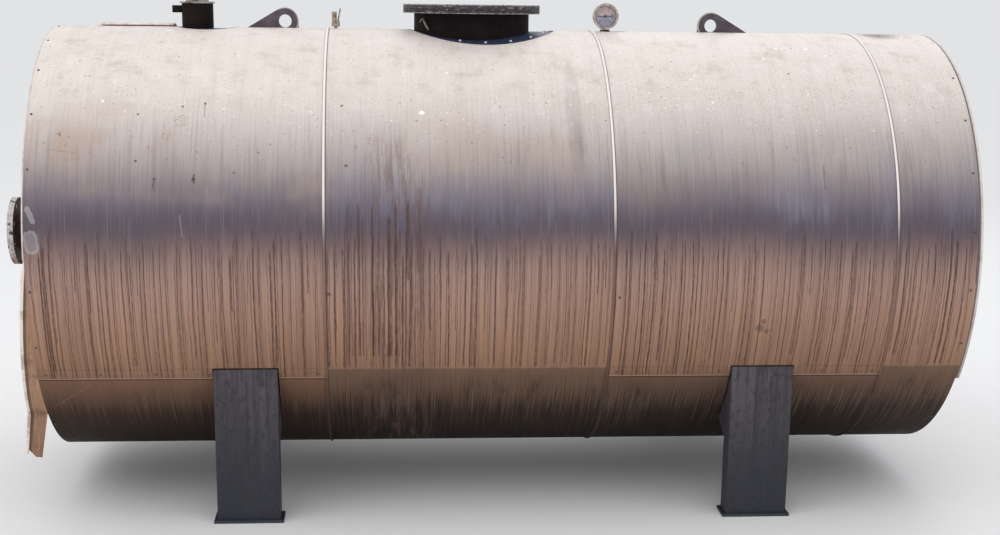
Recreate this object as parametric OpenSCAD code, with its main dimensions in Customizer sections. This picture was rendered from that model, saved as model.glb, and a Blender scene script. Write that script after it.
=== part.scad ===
// Horizontal pressure tank with insulation, riveted sheet cladding and four channel legs.
// Millimetres. X runs along the tank, front is -Y, +Z is up, and z = 0 is the floor under the feet.
// x = 0 is the middle of the whole length, from the face of the end nozzle to the rim of the right end.

/* [Setting out] */
// Height of the tank's axis above the floor
axis_height = 905; // [860:5:1000]
// Radius of the outside of the cladding
clad_radius = 775; // [740:5:820]
// Distance from one seam of the cladding to the next
course_pitch = 975; // [930:5:1020]
// Length of the short course at the right end
short_course = 283; // [240:1:330]

/* [Cladding] */
// Thickness of the cladding sheet
sheet_t = 1.5; // [1:0.1:2]
// Inner radius of the half-round bead at each seam
bead_inner = 3.2; // [2.6:0.1:4.5]
// Width of the lengthwise lap
lap_width = 42; // [20:1:60]
// Angle of the lengthwise lap below the horizontal
lap_angle = 30.4; // [15:0.1:40]
// Distance that the lap's upper sheet stops short of the beads
lap_end = 6; // [5:0.5:12]
// Air gap round each leg and lug where the sheet is cut
cut_gap = 4; // [2:0.5:8]
// Gap from a neck to the edge of its round opening in the cladding, on the left
neck_gap_left = 17; // [10:1:60]
// Gap from a neck to the edge of its round opening in the cladding, on the right
neck_gap_right = 93; // [60:1:110]
// Air gap between parts that seat on each other
seat_gap = 0.3; // [0.2:0.05:0.5]
// Air between the sheet and the insulation under it
skin_gap = 0.3; // [0.2:0.05:0.6]
// Length of the lifted edge of sheet on top of the first course
lifted_len = 302; // [200:1:306]
// Distance of the lifted edge from the left end of the cladding
lifted_x = 117; // [80:1:120]
// Distance from the tank's top line back to the line where the lifted edge springs up
lifted_back = 62; // [40:1:80]
// Width of the lifted edge
lifted_w = 68; // [40:1:90]
// Slope of the lifted edge
lifted_slope = 12.5; // [6:0.5:14]
// Length over which the lifted edge runs out to nothing at its left end
lifted_corner = 44; // [20:1:60]

/* [Dent] */
// Distance of the dent's middle from the right end of the cladding
dent_from_end = 140; // [125:1:150]
// Radius of the ball that made the dent
dent_ball = 470; // [380:5:600]
// Depth of the dent
dent_depth = 19; // [8:1:26]
// Angle of the dent towards the front, from the top
dent_angle = 9; // [0:0.5:20]

/* [End covers] */
// Thickness of the flat end covers
cover_t = 2; // [1.5:0.1:3]
// Depth of the covers' turned rim that goes in under the cladding
rim_lap = 70; // [40:1:80]
// Distance that the left rim stands out of the cladding
rim_out_left = 6; // [4:0.5:20]
// Distance that the right rim stands out of the cladding
rim_out_right = 15; // [8:0.5:25]
// Radius of the rolled edge on the rims
rim_roll = 3; // [2:0.1:4]
// Angle below the horizontal at which the right rim is broken off
rim_break = 32.2; // [20:0.1:40]
// Angle past the tank's lowest line at which the broken right rim starts at the rear
rim_start = 20; // [0:1:40]
// Height above the axis at which the left rim is torn off in front
rim_tear = 35; // [0:1:80]

/* [Loose strip] */
// Angle from the tear down to the crease in the loose strip
strip_arc = 45; // [35:0.5:55]
// Length of the loose strip below its crease
strip_tail = 158; // [60:1:190]
// Lean of the loose strip away from the tank
strip_lean = 6.2; // [6.2:0.1:9]
// Width of the loose strip
strip_w = 64; // [40:1:64]
// Narrowing of the loose strip towards its lower end
strip_taper = 10; // [0:1:20]
// Radius of the rolled edge on the loose strip
strip_roll = 6; // [3:0.5:8]
// Overlap of the strip's straight part with its curved part at the crease
strip_crease = 8; // [4:1:12]
// Height of the raked corner at the strip's lower end
strip_corner = 30; // [10:1:50]

/* [Vessel] */
// Space for insulation between the vessel and the cladding
ins_space = 98.5; // [85:0.5:115]
// Wall of the pressure vessel
vessel_wall = 8; // [5:0.5:14]
// Space for insulation between each dished head and its end cover
end_space = 85; // [50:5:120]
// Crown radius of the dished heads, in diameters of the vessel
crown_ratio = 1; // [0.85:0.01:1.05]
// Knuckle radius of the dished heads, in diameters of the vessel
knuckle_ratio = 0.1; // [0.08:0.005:0.15]

/* [Lifting lugs] */
// Distance between the eyes of the two lugs
lug_spacing = 1588; // [1500:2:1640]
// Distance from the left end of the cladding to the middle between the lugs
lug_middle = 1612; // [1590:1:1630]
// Thickness of the lug plates
lug_t = 16; // [10:1:24]
// Diameter of the eye
lug_eye_d = 47; // [30:1:47]
// Radius of the plate round the eye
lug_eye_r = 49; // [42:1:60]
// Height of the eye's centre above the cladding
lug_eye_up = 24; // [24:1:50]
// Length of the lug where it leaves the cladding
lug_foot = 186; // [150:1:220]
// Slope of the lug's back
lug_slope = 30; // [20:1:40]

/* [Manhole] */
// Distance of the manhole's centre to the left of the middle between the lugs
manhole_left = 107; // [60:1:150]
// Outer diameter of the manhole neck
manhole_neck_d = 426; // [400:1:450]
// Wall of the manhole neck
manhole_wall = 8; // [5:0.5:12]
// Distance that the flange stands out past the neck
manhole_flange_out = 40; // [25:1:60]
// Thickness of the flange
manhole_flange_t = 17; // [12:1:24]
// Thickness of the cover
manhole_cover_t = 15; // [8:1:24]
// Height of the flange's upper face above the cladding
manhole_rise = 76; // [60:1:110]
// Depth of the flashing under the cladding
flash_sink = 4; // [3:0.5:24]

/* [Top nozzle] */
// Distance of the top nozzle to the left of the left lug's eye
top_nozzle_left = 318; // [290:1:340]
// Outer diameter of the top nozzle
top_nozzle_d = 114; // [100:1:120]
// Wall of the top nozzle
top_nozzle_wall = 6; // [4:0.5:10]
// Height of the nozzle's end above the cladding
top_nozzle_rise = 84; // [70:1:120]
// Length of the flat bracket on the nozzle's left side
bracket_len = 34; // [20:1:60]
// Height of the bracket
bracket_h = 26; // [16:1:30]
// Thickness of the bracket
bracket_t = 10; // [6:1:14]
// Height of the bracket's lower edge above the cladding
bracket_up = 50; // [30:1:55]
// Thickness of the cap's flange
cap_t = 6; // [4:0.5:10]
// Diameter of the raised middle of the cap
cap_boss_d = 82; // [40:1:96]
// Height of the raised middle of the cap
cap_boss_h = 14; // [6:1:20]

/* [End nozzle] */
// Height of the end nozzle above the tank's axis
end_nozzle_up = 20; // [0:1:60]
// Distance of the flange's face from the left end of the cladding
end_nozzle_reach = 205; // [170:5:260]
// Outer diameter of the pipe
end_nozzle_d = 140; // [130:1:150]
// Wall of the pipe
end_nozzle_wall = 6; // [4:0.5:10]
// Diameter of the flange
end_flange_d = 250; // [240:1:270]
// Thickness of the flange
end_flange_t = 22; // [16:1:28]
// Diameter of the bolt circle
end_bolt_circle = 210; // [200:1:216]
// Diameter of the bolt holes
end_bolt_hole = 18; // [12:1:22]
// Number of the bolt holes
end_bolt_count = 8; // [4:1:12]

/* [Gauge] */
// Distance of the gauge to the left of the right lug's eye
gauge_left = 400; // [300:1:420]
// Diameter of the gauge's bezel
gauge_d = 96; // [80:1:110]
// Depth of the gauge's case
gauge_depth = 34; // [24:1:45]
// Height of the gauge's centre above the cladding
gauge_up = 54; // [54:1:90]
// Wall of the bezel
bezel_wall = 3; // [2:0.5:5]
// Distance that the bezel reaches back over the case
bezel_grip = 9; // [6:0.5:12]
// Thickness of the bezel's front lip
bezel_lip = 3; // [2:0.5:5]
// Width of the bezel's front lip
bezel_in = 8; // [6:0.5:12]
// Wall of the case
case_wall = 3; // [2:0.5:5]
// Depth of the recess for the dial
case_recess = 12; // [10:0.5:16]
// Thickness of the dial
dial_t = 1.5; // [1:0.1:3]
// Thickness of the glass
glass_t = 2.5; // [2:0.1:4]
// Diameter of the gauge's stem
gauge_stem_d = 20; // [14:1:24]
// Width across the flats of the gauge's socket
socket_flats = 32; // [28:1:40]
// Height of the gauge's socket
socket_h = 26; // [16:1:36]
// Gap from the socket to the edge of the opening in the cladding, on the left
gauge_gap_left = 3.5; // [2:0.5:20]
// Gap from the socket to the edge of the opening in the cladding, on the right
gauge_gap_right = 59.5; // [20:0.5:70]

/* [Gauge pointer] */
// Diameter of the pointer's hub
hub_d = 11; // [6:0.5:16]
// Height of the pointer's hub
hub_h = 3; // [2:0.5:4]
// Length of the pointer from the hub's centre to the tip
pointer_len = 32; // [20:1:34]
// Length of the pointer's tail
pointer_tail = 24; // [8:1:30]
// Width of the pointer
pointer_w = 2.6; // [1.5:0.1:4]
// Thickness of the pointer
pointer_t = 1.2; // [0.8:0.1:2]

/* [Vent cock] */
// Distance of the vent cock to the right of the left lug's eye
cock_right = 185; // [182:1:215]
// Diameter of the pipe under the cock
cock_stem_d = 12; // [8:1:16]
// Width across the flats of its body
cock_flats = 26; // [24:1:32]
// Height of its body
cock_h = 20; // [14:1:30]
// Height of the body's underside above the cladding
cock_up = 6; // [6:1:10]
// Diameter of its outlet
cock_outlet_d = 18; // [12:1:20]
// Height of its outlet
cock_outlet_h = 34; // [20:1:40]
// Distance of the outlet from the middle of the body
cock_outlet_off = 5; // [3:0.5:8]
// Diameter of the lever's spindle
spindle_d = 7; // [4:0.5:8]
// Height of the lever's spindle
spindle_h = 8; // [6:0.5:12]
// Gap between the outlet and the spindle
spindle_gap = 1.5; // [0.5:0.5:3]
// Length of the lever
lever_len = 42; // [25:1:60]
// Width of the lever
lever_w = 8; // [5:0.5:12]
// Thickness of the lever
lever_t = 5; // [3:0.5:6]
// Lean of the lever
lever_lean = 12; // [5:1:30]

/* [Legs] */
// Distance of the left legs from the left end of the cladding
leg_left_x = 700; // [680:1:760]
// Distance of the right legs from the left end of the cladding
leg_right_x = 2497; // [2440:1:2520]
// Width of the leg channels
leg_w = 217; // [180:1:240]
// Depth of the channels' flanges
leg_depth = 80; // [60:1:100]
// Thickness of the channels' webs
leg_web = 9; // [6:0.5:12]
// Thickness of the channels' flanges
leg_flange = 12; // [8:0.5:16]
// Distance of the legs' top under the tank's axis
leg_drop = 356; // [340:1:400]
// Distance that the legs' face stands out of the cladding at their top
leg_proud = 5.6; // [2:0.1:12]
// Distance that the gussets reach in from the channels
gusset_reach = 314; // [250:1:340]
// Depth of the gussets under the leg's top
gusset_h = 200; // [150:1:220]
// Length of the gussets' level lower edge
gusset_level = 120; // [60:1:160]
// Fall of the gussets' lower edge towards the channels
gusset_fall = 70; // [30:1:100]
// Thickness of the foot plates
foot_t = 10; // [6:1:20]
// Distance that the foot plates stand out past the channel
foot_out = 12; // [4:1:30]

/* [Hidden] */
$fn = 96;
clad_len = 3 * course_pitch + short_course;
rim_right_x = clad_len + rim_out_right;
origin_x = (end_nozzle_reach - rim_right_x) / 2;
clad_top_z = axis_height + clad_radius;
clad_inner = clad_radius - sheet_t;
ins_outer = clad_inner - skin_gap;
bead_outer = bead_inner + sheet_t;
lap_deg = lap_width / clad_radius * 180 / PI;
dent_x = clad_len - dent_from_end;
dent_lift = clad_radius - dent_depth + dent_ball;
tear_deg = 270 - asin(rim_tear / clad_radius);
rim_r = clad_inner - seat_gap - sheet_t;
cover_r = rim_r - seat_gap;
strip_x = -rim_out_left - 1;
vessel_radius = clad_inner - ins_space;
vessel_inner = vessel_radius - vessel_wall;
head_crown = 2 * vessel_radius * crown_ratio;
head_knuckle = 2 * vessel_radius * knuckle_ratio;
head_centre = sqrt(pow(head_crown - head_knuckle, 2) - pow(vessel_radius - head_knuckle, 2));
head_depth = head_crown - head_centre;
head_turn = asin((vessel_radius - head_knuckle) / (head_crown - head_knuckle));
barrel_x0 = end_space + head_depth;
barrel_x1 = clad_len - end_space - head_depth;
lug_left_x = lug_middle - lug_spacing / 2;
lug_right_x = lug_middle + lug_spacing / 2;
manhole_x = lug_middle - manhole_left;
manhole_flange_d = manhole_neck_d + 2 * manhole_flange_out;
flange_top_z = clad_top_z + manhole_rise;
flash_outer = clad_radius - flash_sink;
top_nozzle_x = lug_left_x - top_nozzle_left;
gauge_x = lug_right_x - gauge_left;
gauge_z = clad_top_z + gauge_up;
socket_d = socket_flats / cos(30);
gauge_hole_x = gauge_x + (gauge_gap_right - gauge_gap_left) / 2;
gauge_hole_r = (socket_d + gauge_gap_left + gauge_gap_right) / 2;
case_d = gauge_d - 2 * bezel_wall;
recess_d = case_d - 2 * case_wall;
dial_y = gauge_depth / 2 - case_recess;
cock_x = lug_left_x + cock_right;
cock_top_z = clad_top_z + cock_up + cock_h;
spindle_x = (cock_outlet_d + spindle_d) / 2 + spindle_gap - cock_outlet_off;
leg_top_z = axis_height - leg_drop;
leg_face = sqrt(pow(clad_radius, 2) - pow(leg_drop, 2)) + leg_proud;
gusset_out = leg_face - leg_depth;
gusset_in = gusset_out - gusset_reach;
gusset_z = leg_top_z - gusset_h;
// Start of the cuts and pipes in the tank's top, inside the vessel, and a length that goes right through
root_z = axis_height + vessel_radius / 2;
through = clad_radius;
// Overhang of a cut past the face that it cuts
over = 1;

// Puts a piece that is drawn from the left end of the cladding into the shared frame.
module place(x = 0, z = 0) {
    translate([origin_x + x, 0, z]) children();
}

// Turns a profile of (radius, x) round the tank's axis. The angle runs from the bottom by the rear.
module spin(from = 0, turn = 360) {
    translate([0, 0, axis_height]) rotate([0, 90, 0]) rotate([0, 0, from])
        rotate_extrude(angle = turn, $fn = 180) children();
}

// Solid round bar along the tank's axis.
module bar_x(r, x0, x1) {
    translate([x0, 0, axis_height]) rotate([0, 90, 0]) cylinder(r = r, h = x1 - x0, $fn = 180);
}

// Round bar along X at the height of the end nozzle, from the left end's face inwards.
module end_bar(d, x0, x1) {
    translate([x0, 0, axis_height + end_nozzle_up]) rotate([0, 90, 0]) cylinder(d = d, h = x1 - x0);
}

// Upright round bar through the tank's top.
module top_bar(x, d, z1 = root_z + through) {
    translate([x, 0, root_z]) cylinder(d = d, h = z1 - root_z);
}

// Everything outside a radius.
module outside(r) {
    spin() translate([r, 0]) square([through, clad_len]);
}

// Trims a piece to the outside of the vessel, which it is welded to.
module on_vessel() {
    difference() {
        children();
        bar_x(vessel_radius + seat_gap, -clad_len, clad_len);
    }
}

// Openings in sheet and insulation

// Room for a leg and its gussets, with the gap all round, at x = 0 and on the front side.
module leg_pocket() {
    top = leg_top_z + cut_gap;
    low = gusset_z - cut_gap;
    side = -clad_radius - over;
    translate([-leg_w / 2 - cut_gap, 0, 0]) rotate([90, 0, 90]) linear_extrude(leg_w + 2 * cut_gap)
        polygon([[side, top], [cut_gap - gusset_in, top], [cut_gap - gusset_in, low],
            [-gusset_in - gusset_level, low], [-gusset_out, low - gusset_fall], [side, low - gusset_fall]]);
}

module leg_pockets() {
    for (x = [leg_left_x, leg_right_x]) translate([x, 0, 0]) {
        leg_pocket();
        mirror([0, 1, 0]) leg_pocket();
    }
}

// The ball that pushed the sheet in, with its radius made larger by what lies between.
module dent(more) {
    translate([dent_x, 0, axis_height]) rotate([dent_angle, 0, 0])
        translate([0, 0, dent_lift]) sphere(r = dent_ball + more, $fn = 120);
}

// Round opening in the cladding for a neck that stands left of its middle, made larger by grow.
module neck_hole(x, d, grow) {
    top_bar(x + (neck_gap_right - neck_gap_left) / 2, d + neck_gap_left + neck_gap_right + 2 * grow);
}

module manhole_flash_hole(grow) {
    neck_hole(manhole_x, manhole_neck_d, grow);
}

module top_flash_hole(grow) {
    neck_hole(top_nozzle_x, top_nozzle_d, grow);
}

module gauge_hole() {
    top_bar(gauge_hole_x, 2 * gauge_hole_r);
}

// Slots for the lugs, one gap wider than the plates on each side.
module lug_slots() {
    w = lug_t + 2 * cut_gap;
    for (x = [lug_left_x - lug_foot + lug_eye_r, lug_right_x - lug_eye_r])
        translate([x - cut_gap, -w / 2, root_z]) cube([lug_foot + 2 * cut_gap, w, through]);
}

// All openings in the cladding, whichever course they fall in.
module sheet_openings() {
    leg_pockets();
    lug_slots();
    top_flash_hole(0);
    manhole_flash_hole(0);
    gauge_hole();
    top_bar(cock_x, cock_stem_d + 2 * seat_gap);
}

// Cladding

// Sheet tube with the half-round bead at its right end and the lengthwise lap.
// The next course starts under the bead.
module course(x0, x1, bead, lap_from) {
    lap_x0 = x0 + (x0 > 0 ? lap_end : 0);
    spin() union() {
        translate([clad_inner, x0]) square([sheet_t, x1 - x0 - (bead ? bead_inner : 0)]);
        if (bead) translate([clad_radius + seat_gap, x1]) half_ring();
        if (bead) translate([clad_inner, x1 - bead_outer]) square([sheet_t + seat_gap, sheet_t]);
    }
    spin(lap_from, lap_deg) translate([clad_inner, lap_x0]) square([2 * sheet_t, x1 - lap_end - lap_x0]);
}

// Profile of a bead, open towards the tank's axis.
module half_ring() {
    difference() {
        circle(r = bead_outer, $fn = 48);
        circle(r = bead_inner, $fn = 48);
        translate([-2 * bead_outer, -2 * bead_outer]) square([2 * bead_outer, 4 * bead_outer]);
    }
}

// Free edge of the sheet on top of the tank, sprung up towards the front.
module lifted_edge() {
    rise = sqrt(pow(clad_radius, 2) - pow(lifted_back, 2)) - sheet_t;
    translate([lifted_x, lifted_back, axis_height + rise]) rotate([-lifted_slope, 0, 0])
        linear_extrude(sheet_t)
            polygon([[0, 0], [lifted_corner, -lifted_w], [lifted_len, -lifted_w], [lifted_len, 0]]);
}

module cladding_course_1() {
    color("gainsboro") place() difference() {
        union() {
            course(0, course_pitch, true, 270 + lap_angle - lap_deg);
            lifted_edge();
        }
        sheet_openings();
    }
}

module cladding_course_2() {
    color("lightgrey") place() difference() {
        course(course_pitch, 2 * course_pitch, true, 90 - lap_angle);
        sheet_openings();
    }
}

module cladding_course_3() {
    color("gainsboro") place() difference() {
        course(2 * course_pitch, 3 * course_pitch, true, 270 + lap_angle - lap_deg);
        sheet_openings();
    }
}

// The last course, with the sheet pushed in by the ball.
module cladding_course_4() {
    color("lightgrey") place() union() {
        difference() {
            course(3 * course_pitch, clad_len, false, 90 - lap_angle);
            sheet_openings();
            dent(sheet_t);
        }
        intersection() {
            bar_x(clad_radius, 3 * course_pitch, clad_len);
            difference() {
                dent(sheet_t);
                dent(0);
            }
        }
    }
}

// Ends

module end_cover_left() {
    color("silver") place() difference() {
        bar_x(cover_r, 0, cover_t);
        end_bar(end_nozzle_d + 2 * cut_gap, -over, cover_t + over);
    }
}

module end_cover_right() {
    color("silver") place() bar_x(cover_r, clad_len - cover_t, clad_len);
}

// Turned rim: a band that goes in under the cladding, ending in a rolled edge outside it.
module rim(out) {
    translate([rim_r, -out]) square([sheet_t, out + rim_lap]);
    translate([clad_radius - rim_roll, -out + rim_roll]) circle(r = rim_roll, $fn = 32);
    translate([rim_r, -out]) square([clad_radius - rim_roll - rim_r, 2 * rim_roll]);
}

module end_rim_left() {
    color("whitesmoke") place() spin(0, tear_deg) rim(rim_out_left);
}

module end_rim_right() {
    color("whitesmoke") place() difference() {
        translate([clad_len, 0, 0]) mirror([1, 0, 0])
            spin(rim_start, 270 - rim_start + rim_break) rim(rim_out_right);
        dent(sheet_t + seat_gap);
    }
}

// Torn rim: it keeps the tank's curve down to a crease and then hangs straight, leaning outwards.
module loose_rim_strip() {
    tear = tear_deg + 0.1;
    color("tan") place() union() {
        intersection() {
            spin(tear, strip_arc + 270 - tear)
                translate([rim_r, -clad_radius]) square([sheet_t, 2 * clad_radius]);
            leaning() translate([strip_x, -2 * clad_radius, -clad_radius])
                cube([strip_w, 2 * clad_radius, 2 * clad_radius]);
        }
        leaning() strip_edge();
        leaning() strip_end();
    }
}

module leaning() {
    translate([0, 0, axis_height]) rotate([0, strip_lean, 0]) children();
}

// Rolled edge of the loose strip, round the tank's curve and straight down from the crease.
module strip_edge() {
    roll_r = rim_r + sheet_t - strip_roll;
    translate([strip_x, 0, 0]) rotate([0, 90, 0]) rotate([0, 0, 270])
        rotate_extrude(angle = strip_arc, $fn = 180) translate([roll_r, 0]) circle(r = strip_roll, $fn = 32);
    translate([strip_x, -roll_r * cos(strip_arc), -roll_r * sin(strip_arc) - strip_tail + strip_roll])
        cylinder(r = strip_roll, h = strip_tail, $fn = 32);
}

// Straight part of the strip under its crease, with a raked lower corner.
module strip_end() {
    crease_y = -rim_r * cos(strip_arc);
    crease_z = -rim_r * sin(strip_arc);
    low = crease_z - strip_tail;
    translate([0, crease_y, 0]) rotate([90, 0, 0]) translate([0, 0, -sheet_t / 2]) linear_extrude(sheet_t)
        polygon([[strip_x, crease_z + strip_crease], [strip_x + strip_w, crease_z + strip_crease],
            [strip_x + strip_w - strip_taper, low], [strip_x + strip_w / 2, low],
            [strip_x, low + strip_corner]]);
}

// Insulation and vessel

// Room for the covers' turned rims between the insulation and the cladding.
module rim_spaces() {
    for (x = [-over, clad_len - rim_lap - over])
        spin() translate([cover_r - skin_gap, x]) square([through, rim_lap + 2 * over]);
}

module insulation_barrel() {
    color("khaki") place() difference() {
        bar_x(ins_outer, cover_t + over, clad_len - cover_t - over);
        vessel_solid(seat_gap);
        leg_pockets();
        lug_slots();
        dent(sheet_t + skin_gap);
        rim_spaces();
        top_bar(manhole_x, manhole_neck_d + 2 * seat_gap);
        top_bar(top_nozzle_x, top_nozzle_d + 2 * seat_gap);
        top_bar(gauge_x, gauge_stem_d + 2 * seat_gap);
        top_bar(cock_x, cock_stem_d + 2 * seat_gap);
        end_bar(end_nozzle_d + 2 * seat_gap, 0, barrel_x0);
        intersection() {
            union() {
                manhole_flash_hole(seat_gap);
                top_flash_hole(seat_gap);
            }
            outside(flash_outer - sheet_t - skin_gap);
        }
        intersection() {
            gauge_hole();
            outside(clad_radius - socket_h);
        }
    }
}

// Outline of half a dished head: crown arc, knuckle arc and the flat joint with the barrel.
module head_profile(less) {
    intersection() {
        union() {
            intersection() {
                translate([0, -head_centre]) circle(r = head_crown - less, $fn = 240);
                polygon([[0, -head_centre], [0, head_crown],
                    [head_crown * tan(head_turn), head_crown - head_centre]]);
            }
            translate([vessel_radius - head_knuckle, 0]) circle(r = head_knuckle - less);
            square([vessel_radius - head_knuckle, head_knuckle * cos(head_turn) - less]);
        }
        square([vessel_radius - less, head_depth]);
    }
}

// Outside of the whole vessel, grown by a gap.
module vessel_solid(gap) {
    bar_x(vessel_radius + gap, barrel_x0 - gap, barrel_x1 + gap);
    translate([barrel_x1, 0, 0]) spin() head_profile(-gap);
    translate([barrel_x0, 0, 0]) mirror([1, 0, 0]) spin() head_profile(-gap);
}

module dished_head() {
    spin() difference() {
        head_profile(0);
        head_profile(vessel_wall);
    }
}

module vessel_barrel() {
    color("slategrey") place() difference() {
        bar_x(vessel_radius, barrel_x0, barrel_x1);
        bar_x(vessel_inner, barrel_x0 - over, barrel_x1 + over);
        top_bar(manhole_x, manhole_neck_d - 2 * manhole_wall);
        top_bar(top_nozzle_x, top_nozzle_d - 2 * top_nozzle_wall);
    }
}

module vessel_head_left() {
    color("lightslategrey") place() difference() {
        translate([barrel_x0, 0, 0]) mirror([1, 0, 0]) dished_head();
        end_bar(end_nozzle_d - 2 * end_nozzle_wall, 0, barrel_x0);
    }
}

module vessel_head_right() {
    color("lightslategrey") place(barrel_x1) dished_head();
}

// Manhole

module manhole_neck() {
    color("saddlebrown") place() difference() {
        on_vessel() top_bar(manhole_x, manhole_neck_d, flange_top_z);
        top_bar(manhole_x, manhole_neck_d - 2 * manhole_wall);
    }
}

module manhole_flange() {
    color("darkgrey") place(manhole_x, flange_top_z - manhole_flange_t) difference() {
        cylinder(d = manhole_flange_d, h = manhole_flange_t);
        translate([0, 0, -over]) cylinder(d = manhole_neck_d + 2 * seat_gap, h = manhole_flange_t + 2 * over);
    }
}

module manhole_cover() {
    color("grey") place(manhole_x, flange_top_z) cylinder(d = manhole_flange_d, h = manhole_cover_t);
}

// Sunk sheet that follows the cladding's curve inside the opening that its first child cuts. The
// second child cuts the same opening less the sheet's thickness, which leaves the upstand.
module flashing() {
    low = flash_outer - sheet_t;
    intersection() {
        union() {
            spin() translate([low, 0]) square([sheet_t, clad_len]);
            difference() {
                children(0);
                children(1);
            }
        }
        children(0);
        spin() translate([low, 0]) square([clad_radius - low, clad_len]);
    }
}

module manhole_flashing() {
    color("lightsteelblue") place() difference() {
        flashing() {
            manhole_flash_hole(-seat_gap);
            manhole_flash_hole(-seat_gap - sheet_t);
        }
        top_bar(manhole_x, manhole_neck_d + 2 * seat_gap);
    }
}

// Top nozzle

module top_nozzle_neck() {
    bracket_x = top_nozzle_x - top_nozzle_d / 2 - bracket_len;
    color("saddlebrown") place() difference() {
        union() {
            on_vessel() top_bar(top_nozzle_x, top_nozzle_d, clad_top_z + top_nozzle_rise);
            translate([bracket_x, -bracket_t / 2, clad_top_z + bracket_up])
                cube([bracket_len + top_nozzle_d / 2, bracket_t, bracket_h]);
        }
        top_bar(top_nozzle_x, top_nozzle_d - 2 * top_nozzle_wall);
    }
}

module top_nozzle_cap() {
    color("silver") place(top_nozzle_x, clad_top_z + top_nozzle_rise) union() {
        cylinder(d = top_nozzle_d + 2 * cap_t, h = cap_t);
        cylinder(d = cap_boss_d, h = cap_t + cap_boss_h);
    }
}

module top_nozzle_flashing() {
    color("lightsteelblue") place() difference() {
        flashing() {
            top_flash_hole(-seat_gap);
            top_flash_hole(-seat_gap - sheet_t);
        }
        top_bar(top_nozzle_x, top_nozzle_d + 2 * seat_gap);
    }
}

// End nozzle

module end_nozzle_neck() {
    color("rosybrown") place() difference() {
        end_bar(end_nozzle_d, -end_nozzle_reach, barrel_x0);
        end_bar(end_nozzle_d - 2 * end_nozzle_wall, -end_nozzle_reach - over, barrel_x0 + over);
        vessel_solid(seat_gap);
    }
}

module end_nozzle_flange() {
    color("gainsboro") place(-end_nozzle_reach, axis_height + end_nozzle_up) rotate([0, 90, 0]) difference() {
        cylinder(d = end_flange_d, h = end_flange_t);
        translate([0, 0, -over]) cylinder(d = end_nozzle_d + 2 * seat_gap, h = end_flange_t + 2 * over);
        for (i = [0 : end_bolt_count - 1])
            rotate([0, 0, (i + 0.5) * 360 / end_bolt_count]) translate([end_bolt_circle / 2, 0, -over])
                cylinder(d = end_bolt_hole, h = end_flange_t + 2 * over);
    }
}

// Lifting lugs

// Lug plate with its eye at x = 0, rounded towards +X and sloping down towards -X.
module lug() {
    eye_z = clad_top_z + lug_eye_up;
    back = lug_foot - lug_eye_r;
    on_vessel() difference() {
        translate([0, lug_t / 2, 0]) rotate([90, 0, 0]) linear_extrude(lug_t) union() {
            translate([0, eye_z]) circle(r = lug_eye_r);
            polygon([[lug_eye_r, root_z], [lug_eye_r, eye_z],
                [-lug_eye_r * sin(lug_slope), eye_z + lug_eye_r * cos(lug_slope)],
                [-back, clad_top_z], [-back, root_z]]);
        }
        translate([0, lug_t, eye_z]) rotate([90, 0, 0]) cylinder(d = lug_eye_d, h = 2 * lug_t);
    }
}

module lifting_lug_left() {
    color("indianred") place(lug_left_x) lug();
}

module lifting_lug_right() {
    color("indianred") place(lug_right_x) mirror([1, 0, 0]) lug();
}

// Gauge

module gauge_stem() {
    top = gauge_z - gauge_d / 2 - seat_gap;
    color("goldenrod") place() union() {
        on_vessel() top_bar(gauge_x, gauge_stem_d, top);
        translate([gauge_x, 0, top - socket_h]) cylinder(d = socket_d, h = socket_h, $fn = 6);
    }
}

// Puts a piece of the gauge on the gauge's axis, which points to the front.
module on_gauge(y) {
    place(gauge_x, gauge_z) rotate([90, 0, 0]) translate([0, 0, y]) children();
}

module gauge_case() {
    color("lightgrey") difference() {
        on_gauge(-gauge_depth / 2) cylinder(d = case_d, h = gauge_depth);
        on_gauge(dial_y) cylinder(d = recess_d, h = case_recess + over);
    }
}

module gauge_bezel() {
    color("gainsboro") on_gauge(gauge_depth / 2) difference() {
        translate([0, 0, -bezel_grip]) cylinder(d = gauge_d, h = bezel_grip + bezel_lip);
        translate([0, 0, -bezel_grip - over]) cylinder(d = case_d + 2 * seat_gap, h = bezel_grip + over);
        cylinder(d = gauge_d - 2 * bezel_in, h = bezel_lip + over);
    }
}

module gauge_dial() {
    color("mistyrose") on_gauge(dial_y) cylinder(d = recess_d - 2 * seat_gap, h = dial_t);
}

module gauge_pointer() {
    color("black") on_gauge(dial_y + dial_t) union() {
        cylinder(d = hub_d, h = hub_h);
        translate([-pointer_len, -pointer_w / 2, (hub_h - pointer_t) / 2])
            cube([pointer_len + pointer_tail, pointer_w, pointer_t]);
    }
}

module gauge_glass() {
    color("aliceblue") on_gauge(gauge_depth / 2 - glass_t) cylinder(d = recess_d - 2 * seat_gap, h = glass_t);
}

// Vent cock

module vent_cock_body() {
    base_z = clad_top_z + cock_up;
    color("peru") place() union() {
        on_vessel() top_bar(cock_x, cock_stem_d, base_z + over);
        translate([cock_x, 0, base_z]) cylinder(d = cock_flats / cos(30), h = cock_h, $fn = 6);
        translate([cock_x - cock_outlet_off, 0, cock_top_z]) cylinder(d = cock_outlet_d, h = cock_outlet_h);
    }
}

module vent_cock_lever() {
    color("dimgrey") place(cock_x + spindle_x, cock_top_z + seat_gap) union() {
        cylinder(d = spindle_d, h = spindle_h);
        translate([0, 0, spindle_h / 2]) rotate([0, lever_lean, 0])
            translate([-lever_t / 2, -lever_w / 2, 0]) cube([lever_t, lever_w, lever_len]);
    }
}

// Legs

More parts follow.
